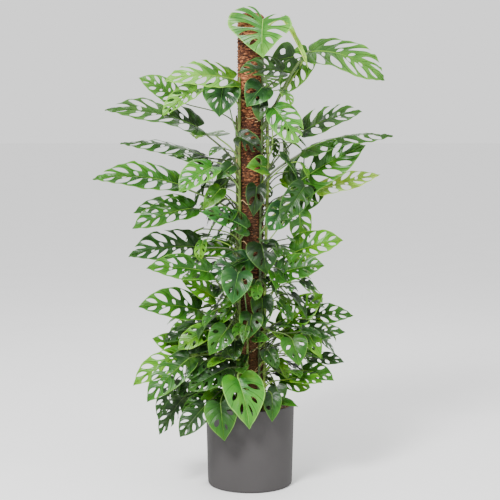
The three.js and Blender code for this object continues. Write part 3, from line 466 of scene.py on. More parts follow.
class Look:
    """One material and the nodes that paint it."""

    def __init__(self, name, **uniform):
        self.material = bpy.data.materials.new(name)
        self.material.use_nodes = True
        self.nodes = self.material.node_tree.nodes
        self.links = self.material.node_tree.links
        self.shader = self.nodes["Principled BSDF"]
        for label, value in uniform.items():
            self.shader.inputs[label.replace("_", " ")].default_value = value

    def node(self, kind, sockets=None, **settings):
        """A node of any kind. Sockets are given by number or label, settings by name."""
        made = self.nodes.new(kind)
        for label, value in settings.items():
            setattr(made, label, value)
        for label, value in (sockets or {}).items():
            self.plug(made.inputs[label], value)
        return made

    def plug(self, socket, value):
        if isinstance(value, Level):
            value = value.socket
        if isinstance(value, bpy.types.NodeSocket):
            self.links.new(value, socket)
        else:
            socket.default_value = value

    def level(self, kind, sockets=None, output=0, **settings):
        return Level(self, self.node(kind, sockets, **settings).outputs[output])

    def place(self):
        """Where a point lies on the object, in metres."""
        return self.node("ShaderNodeNewGeometry").outputs["Position"]

    def rise(self):
        """How high a point lies over the floor, in metres."""
        return self.level("ShaderNodeSeparateXYZ", {0: self.place()}, 2)

    def stretched(self, factors):
        """Where a point lies, with each axis multiplied by its factor."""
        made = self.node("ShaderNodeVectorMath", {0: self.place(), 1: factors}, operation="MULTIPLY")
        return made.outputs[0]

    def spots(self, scale, detail=2.0, rough=0.5):
        """Noise from 0 to 1. Scale is one number, or one for each axis: the larger, the finer."""
        where, scale = (self.stretched(scale), 1.0) if isinstance(scale, tuple) else (self.place(), scale)
        sockets = {"Vector": where, "Scale": scale, "Detail": detail, "Roughness": rough}
        return self.level("ShaderNodeTexNoise", sockets)

    def corner(self, label):
        """The two numbers that the mesh carries under label."""
        where = self.node("ShaderNodeUVMap", uv_map=label).outputs[0]
        split = self.node("ShaderNodeSeparateXYZ", {0: where})
        return Level(self, split.outputs[0]), Level(self, split.outputs[1])

    def paint(self, colour, *coats):
        """Lays coats of (share, colour) over a first colour, one after the other."""
        for share, coat in coats:
            mix = self.node("ShaderNodeMix", {0: share}, data_type="RGBA")
            for socket, paint in ((mix.inputs[6], colour), (mix.inputs[7], coat)):
                self.plug(socket, linear(paint) if isinstance(paint, tuple) else paint)
            colour = mix.outputs[2]
        return colour

    def finish(self, colour, roughness=None, height=None, depth=0.001, strength=1.0):
        """Plugs the colour and what else is given: the roughness, and a bump by its height and depth."""
        self.plug(self.shader.inputs["Base Color"], colour)
        if roughness is not None:
            self.plug(self.shader.inputs["Roughness"], roughness)
        if height is not None:
            bump = self.node("ShaderNodeBump", {"Strength": strength, "Distance": depth, "Height": height})
            self.plug(self.shader.inputs["Normal"], bump.outputs[0])
        return self.material


# Leaf greens: shaded patches, lit patches, veins, underside, stalk; all in screen values.
GREENS = {
    "dark": ((8, 30, 3), (28, 74, 9), (84, 126, 46), (42, 76, 28), (40, 54, 18)),
    "mid": ((12, 46, 2), (42, 102, 9), (106, 152, 48), (56, 96, 28), (56, 78, 24)),
    "bright": ((28, 76, 1), (76, 140, 8), (136, 180, 50), (78, 124, 28), (86, 116, 32)),
    "pale": ((34, 96, 16), (70, 140, 34), (140, 190, 84), (88, 136, 54), (96, 130, 48)),
    "blue": ((10, 50, 11), (36, 98, 27), (98, 158, 68), (52, 100, 40), (62, 94, 38)),
    "yellow": ((104, 150, 24), (140, 188, 52), (196, 216, 100), (128, 162, 54), (124, 144, 48)),
}
# The green of the top: the young leaves' own paler green, and painted light there; and how much of it each
# green takes.
TOP_YOUNG_LIT_GREEN = (146, 208, 92)
TOP_SHARES = {"dark": 0.35, "mid": 0.42, "bright": 1.0, "pale": 0.9, "blue": 0.28, "yellow": 0.8}
TOP_FROM = 0.92              # height in metres from which leaves turn to it
SHADE_REACH = 0.19           # leaves nearer to the axis than this get painted shade, in metres


def vein_lines(look):
    """Side veins, finer veins between them and the midrib, each as a level from 0 to 1."""
    across, _ = look.corner("Veins")
    _, side = look.corner("Blade")
    side_vein = (0.5 - across.off_half()).under(0.016, 0.03)
    fine_vein = (0.5 - (across * 4).off_half()).under(0.05, 0.08)
    midrib = abs(side).under(0.016, 0.016)
    return side_vein, fine_vein, midrib


def inner_shade(look):
    """Painted shade: leaves close to the pole are painted darker, as the foliage shades them there: 1 at the
    pole, 0 further out.
    """
    out = look.level("ShaderNodeVectorMath", {0: look.stretched((1.0, 1.0, 0.0))}, 1, operation="LENGTH")
    return ((SHADE_REACH - out) * 7).clip()


def top_light(look):
    """Leaves near the top are younger and paler, and get painted light from above: 1 near the top, 0 up to
    TOP_FROM.
    """
    return ((look.rise() - TOP_FROM) * 3).clip()


def warmer(colour):
    """The same green leaning to yellow."""
    red, green, blue = colour
    return (min(red * 1.25 + 14, 255), min(green * 1.06, 255), blue * 0.75)


def leaf_upper(tone):
    shade, lit, vein = GREENS[tone][:3]
    look = Look(f"leaf_{tone}_upper", Specular_IOR_Level=0.3)
    side_vein, fine_vein, midrib = vein_lines(look)
    along, side = look.corner("Blade")
    _, way = look.corner("Veins")
    margin = (1 - way).under(0.045, 0.035)
    patches, hue, speckle = look.spots(11.0, 3.0, 0.55), look.spots(23.0), look.spots(190.0)
    # Painted light and shade: the lit green over lit patches and towards the tip and the margins, painted
    # shade towards the pole.
    bright = (patches - 0.5) * 2.2 + along * 0.75 + abs(side) * 0.4 - inner_shade(look) * 0.7 + 0.04
    # The top's green, partly the young leaves' own green and partly painted light, laid on most where the lit
    # patches are.
    young = top_light(look) * TOP_SHARES[tone]
    colour = look.paint(
        shade,
        (bright, lit),
        ((hue - 0.5) * 1.6, warmer(lit)),
        # Painted highlight: the brightest lit patches lighten towards the vein green.
        ((bright - 0.75) * 0.3, vein),
        (young * (bright.clip() * 0.36 + 0.03), TOP_YOUNG_LIT_GREEN),
        # Painted shade: the side and fine veins, which the bump sinks too, take the shaded green.
        (fine_vein * 0.22, shade),
        (side_vein * 0.7, shade),
        (midrib * (0.85 - along * 0.6), vein),
        (margin * 0.5, vein),
        ((speckle - 0.5) * 0.5, lit),
    )
    height = (1 - side_vein * 0.9 - midrib - fine_vein * 0.35) + speckle * 0.2
    return look.finish(colour, speckle * 0.16 + 0.3, height, 0.0018, 0.9)


def leaf_under(tone):
    _, _, vein, under, _ = GREENS[tone]
    look = Look(f"leaf_{tone}_under", Specular_IOR_Level=0.2)
    side_vein, fine_vein, midrib = vein_lines(look)
    patches = look.spots(14.0, 3.0)
    veins = side_vein * 0.5 + midrib * 0.9 + fine_vein * 0.12
    colour = look.paint(under, (patches * 0.7, vein), (veins, vein))
    return look.finish(colour, patches * 0.1 + 0.52, side_vein * 0.8 + midrib + fine_vein * 0.2, 0.0007, 0.5)


def leaf_rim(tone):
    _, lit, vein, _, _ = GREENS[tone]
    look = Look(f"leaf_{tone}_rim", Roughness=0.5)
    return look.finish(look.paint(vein, (look.spots(40.0), lit)))


def stalk(tone):
    base = GREENS[tone][4]
    pale = tuple(min(255, int(channel * 1.35 + 14)) for channel in base)
    look = Look(f"petiole_{tone}", Roughness=0.45, Coat_Weight=0.1, Coat_Roughness=0.3)
    streaks = look.spots((900.0, 900.0, 60.0), 3.0, 0.6)
    colour = look.paint(base, ((streaks - 0.5) * 1.8 + 0.4, pale))
    return look.finish(colour, streaks * 0.15 + 0.36, streaks, 0.0003, 0.4)


NODE_STEP = 64               # from one leaf scar of a climbing stem to the next


def climbing_stem(name, base, pale, scar):
    look = Look(name, Coat_Weight=0.08, Coat_Roughness=0.35)
    _, run = look.corner("Blade")
    streaks = look.spots((700.0, 700.0, 30.0), 4.0, 0.6)
    blotches = look.spots(30.0, 3.0)
    ring = (run / NODE_STEP).off_half().under(0.035, 0.03)
    colour = look.paint(
        base, ((streaks - 0.5) * 2.0 + 0.5, pale), ((blotches - 0.58) * 4, scar), (ring * 0.7, scar))
    return look.finish(colour, streaks * 0.2 + 0.4, streaks + ring * 0.8, 0.0006, 0.5)


def aerial_root():
    look = Look("aerial_root")
    grain = look.spots(220.0, 3.0)
    colour = look.paint((150, 112, 66), ((grain - 0.5) * 2 + 0.5, (206, 180, 128)))
    return look.finish(colour, grain * 0.2 + 0.6, grain, 0.0004, 0.6)


# Heights in metres: below the first the coir gets painted shade, darker and more olive; below the second it
# gets painted light, paler, more so where it is worn.
PAINTED_SHADE_BELOW, PAINTED_LIGHT_BELOW = 1.1, 0.66


def coir_fibre():
    look = Look("coir_fibre", Specular_IOR_Level=0.2)
    rise, crest = look.corner("Veins")
    strands = look.spots((200.0, 200.0, 900.0), 4.0, 0.7)
    flecks = look.spots((105.0, 105.0, 290.0), 3.0, 0.65)
    clumps = look.spots(62.0, 4.0, 0.6)
    zones = look.spots((6.0, 6.0, 13.0))
    # Worn flecks and patches, with painted highlight lighter on the crests of the turns; lighter towards the
    # top too.
    wear_and_highlight = ((flecks - 0.55) * 5.2 + (zones - 0.5) * 2.4 + (rise - 0.66) * 1.3 + crest * 0.3).clip()
    painted_shade, painted_light = (((height - look.rise()) * 4).clip() for height in (PAINTED_SHADE_BELOW, PAINTED_LIGHT_BELOW))
    colour = look.paint(
        (24, 12, 9),
        ((clumps - 0.5) * 2.4 + 0.4, (80, 42, 28)),
        (wear_and_highlight * 0.9, (190, 122, 78)),
        # Painted shade in the grooves between the turns of the coir.
        ((0.42 - crest) * 2.2, (18, 9, 7)),
        ((strands - 0.58) * 3.0, (196, 142, 100)),
        ((0.45 - strands) * 4.0, (24, 13, 10)),
        # Painted shade lower down the pole, darker and more olive, and painted light lower still, paler.
        (painted_shade * 0.42, (44, 34, 14)),
        (painted_light * (wear_and_highlight * 0.35 + 0.18), (122, 90, 54)),
    )
    return look.finish(colour, strands * 0.1 + 0.85, strands * 0.8 + clumps * 0.7, 0.0018, 0.9)


def loose_fibre():
    look = Look("loose_fibre", Roughness=0.8)
    return look.finish(look.paint((120, 74, 46), (look.spots(300.0), (196, 148, 104))))


def pot_shell():
    look = Look("pot_shell", Specular_IOR_Level=0.12)
    grain = look.spots(900.0, 3.0, 0.6)
    cloud = look.spots(7.0, 3.0)
    colour = look.paint(
        (62, 60, 60), ((cloud - 0.5) * 1.2 + 0.5, (70, 68, 68)), ((grain - 0.55) * 1.2, (78, 76, 77)))
    return look.finish(colour, grain * 0.15 + 0.55, grain, 0.0002, 0.35)


def potting_mix():
    look = Look("potting_mix")
    crumbs = look.spots(130.0, 6.0, 0.7)
    clods = look.spots(40.0, 3.0)
    colour = look.paint((26, 18, 14), ((crumbs - 0.42) * 3, (84, 60, 44)), ((clods - 0.6) * 3, (60, 42, 30)))
    return look.finish(colour, 0.95, crumbs + clods, 0.004, 0.9)


def bark_chip():
    look = Look("bark_chip")
    grain = look.spots((300.0, 90.0, 300.0), 4.0, 0.6)
    return look.finish(look.paint((66, 42, 28), ((grain - 0.45) * 3, (140, 98, 66))), 0.85, grain, 0.001, 0.8)


def stake_wood():
    look = Look("stake_wood")
    grain = look.spots((160.0, 160.0, 8.0), 4.0, 0.6)
    return look.finish(look.paint((128, 98, 64), (grain, (176, 142, 98))), 0.75, grain, 0.0006, 0.5)


# ---------------------------------------------------------------- pot and potting mix
RIM = {"tall": 1.6, "under": 3}             # how high its rounded edge is, and where the wall ends below it
SOIL = {"rings": 46, "sides": 150, "clear": 1.6, "bank": 3.0, "bank_reach": 14}
SOIL_LUMPS = ((1, 32, 32, 4.5), (2, 7, 7, 2.6), (3, 3.2, 3.2, 1.2))     # seed, width, height, strength
CHIPS = {"seed": 77, "count": 170, "inner": 46, "clear": 6, "up": 2.2, "taper": 0.82}


def pot_radius(height):
    return POT["foot"] + (POT["rim"] - POT["foot"]) * height / POT["height"]


def arc(first, last, step):
    """Cosine and sine of the angles in degrees from first to last."""
    angles = np.radians(np.arange(first, last + step, step))
    return zip(np.cos(angles), np.sin(angles))


def make_pot(material):
    """A turned shell: flat bottom, rounded foot, wall, rounded rim and the inside down to its floor."""
    height, edge, wall, floor, lip = (POT[key] for key in ("height", "edge", "wall", "floor", "lip"))
    foot = POT["foot"] - edge
    profile = [(foot - 20, 0), (foot, 0)]
    profile += [(foot + edge * out, edge - edge * down) for down, out in arc(10, 90, 10)]
    profile += [(pot_radius(level), level) for level in np.linspace(20, height - RIM["under"], 24)]
    middle = pot_radius(height) - lip / 2 - 0.02
    profile += [(middle + lip / 2 * out, height - RIM["tall"] * (1 - up)) for out, up in arc(0, 180, 30)]
    profile += [(pot_radius(level) - wall, level) for level in (height - 12, 150, floor + 6)]
    profile.append((pot_radius(floor) - wall - 5, floor))
    skin = Skin()
    turns = circle(160)
    rings = [around(0, radius, turns, level) for radius, level in profile]
    skin.turned(rings, [(0, 0, 0), (0, 0, floor)], 0)
    return skin.piece("pot_shell", [material], sharp=60)


def soil_top(x, y):
    """Height of the potting mix, banked up against the pole."""
    near = max(math.hypot(x - POLE["x"], y) - POLE["radius"], 0)
    return SOIL_LEVEL - 1 + lumps(x, y, 0, SOIL_LUMPS) + SOIL["bank"] * math.exp(-near / SOIL["bank_reach"])


def make_soil(mix, chip):
    """Potting mix with an uneven, crumbly top, bark chips lying in it."""
    bottom = POT["floor"] + GAP
    inset = POT["wall"] + SOIL["clear"]
    outer = pot_radius(SOIL_LEVEL) - inset
    turns = circle(SOIL["sides"])
    rings = [around(0, pot_radius(POT["floor"]) - inset, turns, bottom)]
    for step in range(SOIL["rings"], 0, -1):
        ring = around(0, outer * step / SOIL["rings"], turns, 0.0)
        ring[:, 2] = [soil_top(x, y) for x, y, _ in ring]
        rings.append(ring)
    skin = Skin()
    skin.turned(rings, [(0, 0, bottom), (0, 0, SOIL_LEVEL)], 0)
    draw = seeded(CHIPS["seed"])
    for _ in range(CHIPS["count"]):
        radius = CHIPS["inner"] + (outer - CHIPS["inner"] - CHIPS["clear"]) * math.sqrt(next(draw))
        centre = around(0, radius, next(draw) * 2 * math.pi, SOIL_LEVEL + CHIPS["up"])
        add_chip(skin, centre, draw, 1)
    return skin.piece("potting_mix", [mix, chip], sharp=40)


def add_chip(skin, centre, draw, slot):
    """A flat splinter of bark: an uneven six-sided slab."""
    length, width, thick = between(draw, 4, 12), between(draw, 2.5, 6.5), between(draw, 1, 2.6)
    heading = next(draw) * 2 * math.pi
    along = np.array([math.cos(heading), math.sin(heading), between(draw, -0.45, 0.45)])
    across = np.array([-math.sin(heading), math.cos(heading), between(draw, -0.25, 0.25)])
    up = unit(np.cross(along, across)) * thick / 2
    sides = 6
    outline = []
    for angle in circle(sides):
        spot = along * length / 2 * math.cos(angle) + across * width / 2 * math.sin(angle)
        outline.append(spot * between(draw, 0.75, 1.25))
    low = [centre + point - up for point in outline]
    high = [centre + point * CHIPS["taper"] + up for point in outline]
    skin.add(low + high, ring_faces(2, sides), slot)
    skin.add(high, [[0, 1, 2, 3], [0, 3, 4, 5]], slot)
    skin.add(low, [[3, 2, 1, 0], [5, 4, 3, 0]], slot)


# ---------------------------------------------------------------- coir pole
TURN_PITCH = 9.5             # height of one turn of the wound coir
COIR = {"sides": 84, "step": 2.0, "crown": 14, "crown_rings": 9, "wound": 9, "round": 0.55, "narrowest": 0.04}
COIR_RELIEF = {"sunk": 2.0, "crest": 3.2, "lump": 0.5, "crest_lump": 0.7}
# Noises as (seed, width, height, strength): how the turns wander, the lumps on them, and the ragged top.
COIR_WANDER = ((5, 50, 40, 0.9), (6, 18, 12, 0.42))
COIR_LUMPS = ((7, 9, 6, 1.5), (8, 4, 2.6, 0.9))
CROWN_LUMPS = ((9, 8, 1, 2.0),)
FIBRES = {"seed": 31, "count": 520, "spots": 5, "lowest": 250, "top_clear": 12, "sunk": 0.4, "bow": 1.5}


def coir_surface(turn, height):
    """Reach from the pole's axis and crest level at a place on the wound coir."""
    x, y = math.cos(turn) * POLE["radius"], math.sin(turn) * POLE["radius"]
    winding = height / TURN_PITCH + turn / (2 * math.pi) + lumps(x, y, height, COIR_WANDER)
    crest = math.sin(math.pi * (winding % 1))
    lump = lumps(x, y, height, COIR_LUMPS) * (COIR_RELIEF["lump"] + COIR_RELIEF["crest_lump"] * crest)
    reach = POLE["radius"] - COIR_RELIEF["sunk"] + COIR_RELIEF["crest"] * crest + lump
    return min(reach, POLE["radius"] + POLE["ridge"]), crest


def make_coir(fibre, loose):
    """The wound sleeve: from the stake's bore round its foot, up the outside and over the ragged top."""
    foot, top = POLE["foot"], POLE["top"]
    turns = circle(COIR["sides"])
    bore = around(POLE["x"], STAKE["radius"], turns, foot)
    rings = [bore + [0, 0, STAKE["top"] - foot], bore]
    crests = [np.zeros_like(turns)] * 2
    heights = np.arange(foot, top - COIR["crown"], COIR["step"])
    for height in heights:
        reach, crest = np.transpose([coir_surface(turn, height) for turn in turns])
        rings.append(around(POLE["x"], reach, turns, height))
        crests.append(crest)
    edge = heights[-1]
    for step in range(1, COIR["crown_rings"] + 1):
        share = step / COIR["crown_rings"]
        angle = share * math.pi / 2
        reach, crest = np.transpose([coir_surface(turn, edge + COIR["wound"] * share) for turn in turns])
        reach = reach * max(math.cos(angle) ** COIR["round"], COIR["narrowest"])
        ring = around(0, reach, turns, edge + (top - edge) * math.sin(angle))
        rough = np.array([lumps(x, y, 1, CROWN_LUMPS) for x, y, _ in ring])
        ring[:, 2] = np.minimum(ring[:, 2] + rough * (1 - share), top)
        rings.append(ring + [POLE["x"], 0, 0])
        crests.append(0.55 + 0.45 * crest)
    rise = (np.concatenate(rings)[:, 2] - foot) / (top - foot)
    veins = np.stack([rise, np.concatenate(crests)], axis=1)[ring_faces(len(rings), len(turns))]
    skin = Skin()
    skin.turned(rings, [(POLE["x"], 0, STAKE["top"]), (POLE["x"], 0, top)], 0, veins=veins)
    add_loose_fibres(skin)
    return skin.piece("coir_pole", [fibre, loose], sharp=180)


def add_loose_fibres(skin):
    """Short ends of fibre that stand off the wound coir."""
    draw = seeded(FIBRES["seed"])
    for _ in range(FIBRES["count"]):
        height = between(draw, FIBRES["lowest"], POLE["top"] - FIBRES["top_clear"])
        turn = next(draw) * 2 * math.pi
        length = between(draw, 8, 24)
        slant = between(draw, -0.6, 0.6)
        lift = between(draw, 1.5, 5)
        bow = next(draw) * math.pi
        path = []
        for share in np.linspace(0, 1, FIBRES["spots"]):
            angle = turn + share * length / POLE["radius"] * math.cos(slant)
            level = height + share * length * math.sin(slant) * 0.5 + math.sin(share * bow) * FIBRES["bow"]
            reach, _ = coir_surface(angle, min(level, POLE["top"] - COIR["crown"]))
            reach += lift * share * share - FIBRES["sunk"]
            path.append(around(POLE["x"], reach, angle, level))
        tube(skin, path, np.linspace(0.32, 0.14, FIBRES["spots"]), 3, 1)


# ---------------------------------------------------------------- climbing stems
STEM = {"step": 7.0, "sides": 12, "thin": 0.9, "node": 0.16, "node_width": 0.09, "tip_spots": 6}
ROOTS = {"seed": 90, "spots": 9, "thick": 1.35, "thin": 0.7, "lowest": 262, "top_clear": 25, "wave": 3}


def stem_points(name):
    radius, path = STEMS[name]
    points = []
    for turn, clear, height in path:
        reach = POLE["radius"] + POLE["ridge"] + GAP + radius + clear
        points.append(np.array([POLE["x"], 0, height]) + turn_direction(turn) * reach)
    return points


def smooth_path(points, steps):
    """The centripetal Catmull-Rom curve through points, as the solids have it."""
    points = [2 * points[0] - points[1], *points, 2 * points[-1] - points[-2]]
    path = []
    for p0, p1, p2, p3 in zip(points, points[1:], points[2:], points[3:]):
        dt0, dt1, dt2 = (math.sqrt(np.linalg.norm(b - a)) for a, b in ((p0, p1), (p1, p2), (p2, p3)))
        t1 = ((p1 - p0) / dt0 - (p2 - p0) / (dt0 + dt1) + (p2 - p1) / dt1) * dt1
        t2 = ((p2 - p1) / dt1 - (p3 - p1) / (dt1 + dt2) + (p3 - p2) / dt2) * dt1
        for step in range(steps):
            t = step / steps
            path.append(p1 + t1 * t + (-3 * p1 + 3 * p2 - 2 * t1 - t2) * t * t
                        + (2 * p1 - 2 * p2 + t1 + t2) * t ** 3)
    path.append(points[-2])
    return np.array(path)


STEM_PATHS = {name: smooth_path(stem_points(name), 60) for name in STEMS}


def stem_place(name, height):
    path = STEM_PATHS[name]
    return np.array([np.interp(height, path[:, 2], path[:, axis]) for axis in range(3)])


def add_stem(skin, name, slot, root_slot, seed):
    """One climbing stem, swollen at its leaf scars, with the roots that hold it to the coir."""
    radius, _ = STEMS[name]
    low, high = STEM_PATHS[name][0][2], STEM_PATHS[name][-1][2]
    path = np.array([stem_place(name, height) for height in np.arange(low, high, STEM["step"])])
    share = (run_along(path) / NODE_STEP + 0.5) % 1 - 0.5
    radii = radius * (STEM["thin"] + STEM["node"] * np.exp(-(share / STEM["node_width"]) ** 2))
    radii[-STEM["tip_spots"]:] *= np.linspace(0.95, 0.5, STEM["tip_spots"])
    tube(skin, path, radii, STEM["sides"], slot)
    draw = seeded(seed)
    height = ROOTS["lowest"] + 30 * next(draw)
    while height < high - ROOTS["top_clear"]:
        foot = stem_place(name, height)
        start = math.atan2(foot[1], foot[0] - POLE["x"])
        way = 1 if next(draw) > 0.5 else -1
        reach_round = between(draw, 0.5, 1.25)
        drop = between(draw, -10, 24)
        points = []
        for part in np.linspace(0, 1, ROOTS["spots"]):
            angle = start + way * reach_round * part
            level = height - drop * part + ROOTS["wave"] * math.sin(part * 9 + height)
            reach = POLE["radius"] + POLE["ridge"] + 0.6 + radius * STEM["thin"] * (1 - part) ** 3
            points.append(around(POLE["x"], reach, angle, level))
        tube(skin, points, np.linspace(ROOTS["thick"], ROOTS["thin"], ROOTS["spots"]), 6, root_slot)
        height += NODE_STEP * between(draw, 0.8, 2.1)


# ---------------------------------------------------------------- leaf form
def outline_point(shape, share):
    """A point of a half outline: the Catmull-Rom curve through the table's points."""
    points = OUTLINE[shape]
    last = len(points) - 1
    place = min(max(share, 0), 1) * last
    index = min(int(place), last - 1)
    t = place - index
    p0, p1, p2, p3 = (points[min(max(index + step, 0), last)] for step in (-1, 0, 1, 2))
    return 0.5 * (2 * p1 + (p2 - p0) * t + (2 * p0 - 5 * p1 + 4 * p2 - p3) * t * t
                  + (3 * p1 - p0 - 3 * p2 + p3) * t * t * t)


def space_count(length):
    """How many spaces the side veins of a long leaf leave between them."""
    least, more = SPACE_STEP
    return round(length / (least + more * length))


def finer(pattern, length, shape):
    """A long leaf has more, narrower openings than its solid: the letters are spread over them."""
    if shape in ("heart", "lobed", "wing") or not pattern:
        return pattern
    count = max(len(pattern), space_count(length))
    return "".join(pattern[int((index + 0.5) / count * len(pattern))] for index in range(count))


def margin_point(leaf, share):
    """A point of the margin, which bulges a little at every side vein."""
    x, y = outline_point(leaf["shape"], share)
    scallop = math.sin(share * leaf["scallops"] * math.pi + leaf["phase"]) * math.sin(math.pi * share)
    return np.array([x * leaf["length"], y * leaf["half"] * (1 + SCALLOP * scallop)])


def describe_leaf(row, order, name=""):
    """Sizes and directions of the leaf in a row of a table, without its name. Order picks its draws."""
    stem, foot_height, *spots = row[:8]
    width, azimuth, elevation, bend, fold, pattern, shape = row[8:15]
    shapes = (shape.split("/") * 2)[:2]
    start, tip = np.array(spots, float).reshape(2, 3)
    chord = tip - start
    length = np.linalg.norm(chord)
    chord /= length
    normal = turn_direction(azimuth, elevation)
    normal = unit(normal - chord * normal.dot(chord))
    draw = seeded(LEAF_SEED + order)
    size = "large" if length > LARGE_LEAF else "small"
    return {
        "stem": stem, "foot_height": foot_height, "base": start, "length": length, "chord": chord,
        "normal": normal, "side": np.cross(chord, normal), "half": width / 2, "bend": math.radians(bend),
        "fold": math.tan(math.radians(fold)), "wave": WAVE[size], "phase": next(draw) * 6,
        "lift": PETIOLE["lift"] + PETIOLE["spread"] * next(draw), "shapes": shapes,
        "pattern": [finer(letters, length, half) for letters, half in zip(pattern.split("/"), shapes)],
        "petiole": STOUT_PETIOLES.get(name, PETIOLE[size]), "scallops": 2 * max(3, space_count(length)) + 3,
        "mesh": MESH[size],
    }


def half_of(leaf, side):
    """The leaf with the outline of one of its halves."""
    shape = leaf["shapes"][side]
    return {**leaf, "shape": shape, "spaces": SPACES[shape], "start": leaf["phase"] * 3.7 + side * 2.2}


def differ(leaf, index, trait):
    """How one opening differs from the next, from -1 to 1."""
    return math.sin(leaf["start"] + index * 2.3 + trait * 1.9)


def space_line(leaf, place):
    """The line down the middle of a vein space: its start on the midrib and its end on the margin."""
    (first, last), (near, far), _ = leaf["spaces"]
    start = np.array([max(first + (last - first) * place, 0) * leaf["length"], 0.0])
    share = near + (far - near) * place
    return start, margin_point(leaf, share), share


def opening_swell(share, side, is_open):
    """The half width of an opening at a share of its way, as a share of its greatest."""
    if not is_open:
        return math.sin(math.pi * share ** 1.08) ** 0.74
    flare = MOUTH["flare"] * max(share - MOUTH["from"], 0) ** 2 if side == -1 else 0
    return math.sin(math.pi / 2 * min(share * 1.7, 1)) * (1 - 0.3 * share ** 2) + flare


def opening_outline(start, end, low, high, width, steps, is_open=False):
    """The edge of one opening, from one side of its outer end round its inner end to the other side."""
    reach = np.linalg.norm(end - start)
    out = (end - start) / reach
    aside = np.array([-out[1], out[0]])

    def spot(share, side):
        way = low + (high - low) * share
        bow = reach * VEIN_BOW * math.sin(math.pi * way)
        beside = side * width * opening_swell(share, side, is_open) if side else 0
        return start + out * reach * way + aside * (bow + beside)

    shares = np.arange(1, steps) / steps
    edge = [spot(share, 1) for share in shares[::-1]] + [spot(0, 0)] + [spot(share, -1) for share in shares]
    return edge if is_open else [*edge, spot(1, 0)]


def opening_size(leaf, letter, index):
    """From, to and half width of an opening, as shares, and whether it is open to the margin."""
    low, high, swell, is_open = OPENINGS[letter]
    if letter in UNEVEN_OPENINGS:
        young, less = float(np.clip((SMALL["grown"] - leaf["length"]) / SMALL["range"], 0, 1)), SMALL
        if leaf["shape"] == "heart":
            young, less = 1, HEART
        low += less["in"] * young + UNEVEN["ends"] * differ(leaf, index, 1)
        high += UNEVEN["ends"] * differ(leaf, index, 2) / 2 - less["out"] * young
        swell *= (1 - less["thin"] * young) * (1 - UNEVEN["swell"] * max(differ(leaf, index, 3), -0.3))
    return low, high, swell if is_open else swell * leaf["spaces"][2], is_open


def half_blade(leaf, pattern, step_size):
    """One half of a blade laid flat: its margin from notch to tip and its closed openings."""
    length, half = leaf["length"], leaf["half"]
    first, last = leaf["spaces"][0]
    spaces = len(pattern)
    spacing = (last - first) * length / max(spaces, 1)
    holes, mouths, stops = [], [], []
    for index, letter in enumerate(pattern):
        low, high, swell, is_open = opening_size(leaf, letter, index)
        place = index + 0.5 + UNEVEN["place"] * differ(leaf, index, 0)
        start, end, share = space_line(leaf, place / spaces)
        reach = np.linalg.norm(end - start)
        square = end[1] / reach
        width = swell * min(spacing * (ROOM["least"] + ROOM["square"] * square), reach * ROOM["most"])
        steps = max(5, int(reach / step_size / 1.6))
        edge = opening_outline(start, end, low, high, width, steps, is_open)
        if not is_open:
            holes.append(edge)
            continue
        run = outline_point(leaf["shape"], share + PROBE) - outline_point(leaf["shape"], share - PROBE)
        mouth = MOUTH["wide"] * width * 2 * PROBE / np.linalg.norm(run * [length, half])
        mouths.append((share - mouth, share + mouth * MOUTH["ahead"]))
        corners = [margin_point(leaf, corner) for corner in mouths[-1]]
        if np.linalg.norm(edge[0] - corners[0]) > np.linalg.norm(edge[0] - corners[1]):
            edge.reverse()
        stops.append((share, [corners[0], *edge, corners[1]]))
    for index in range(1, spaces if length > INNER["least_length"] else 1):
        if differ(leaf, index, 4) >= INNER["left_out"]:
            aside = (differ(leaf, index - 1, 0) + differ(leaf, index, 0)) / 2
            start, end, _ = space_line(leaf, (index + UNEVEN["place"] * aside) / spaces)
            width = INNER["swell"] * min(spacing, np.linalg.norm(end - start))
            holes.append(opening_outline(start, end, INNER["from"], INNER["to"], width, INNER["steps"]))
    count = int((length * 1.25 + half) / step_size)
    clear = MOUTH["clear"]
    for share in np.arange(count + 1) / count:
        if not any(low - clear < share < high + clear for low, high in mouths):
            stops.append((share, [margin_point(leaf, share)]))
    stops.sort(key=lambda stop: stop[0])
    return np.array([point for _, points in stops for point in points]), [np.array(hole) for hole in holes]


def inside(points, loop):
    """Which points lie within a closed loop."""
    x, y = points[:, 0][:, None], points[:, 1][:, None]
    x0, y0 = loop[:, 0], loop[:, 1]
    x1, y1 = np.roll(x0, -1), np.roll(y0, -1)
    crosses = (y0 > y) != (y1 > y)
    with np.errstate(divide="ignore", invalid="ignore"):
        at = x0 + (y - y0) * (x1 - x0) / (y1 - y0)
    return (crosses & (x < at)).sum(axis=1) % 2 == 1


def on_blade(points, contour, holes):
    """Which points lie within the contour and in none of the holes."""
    kept = inside(points, contour)
    for hole in holes:
        kept &= ~inside(points, hole)
    return kept


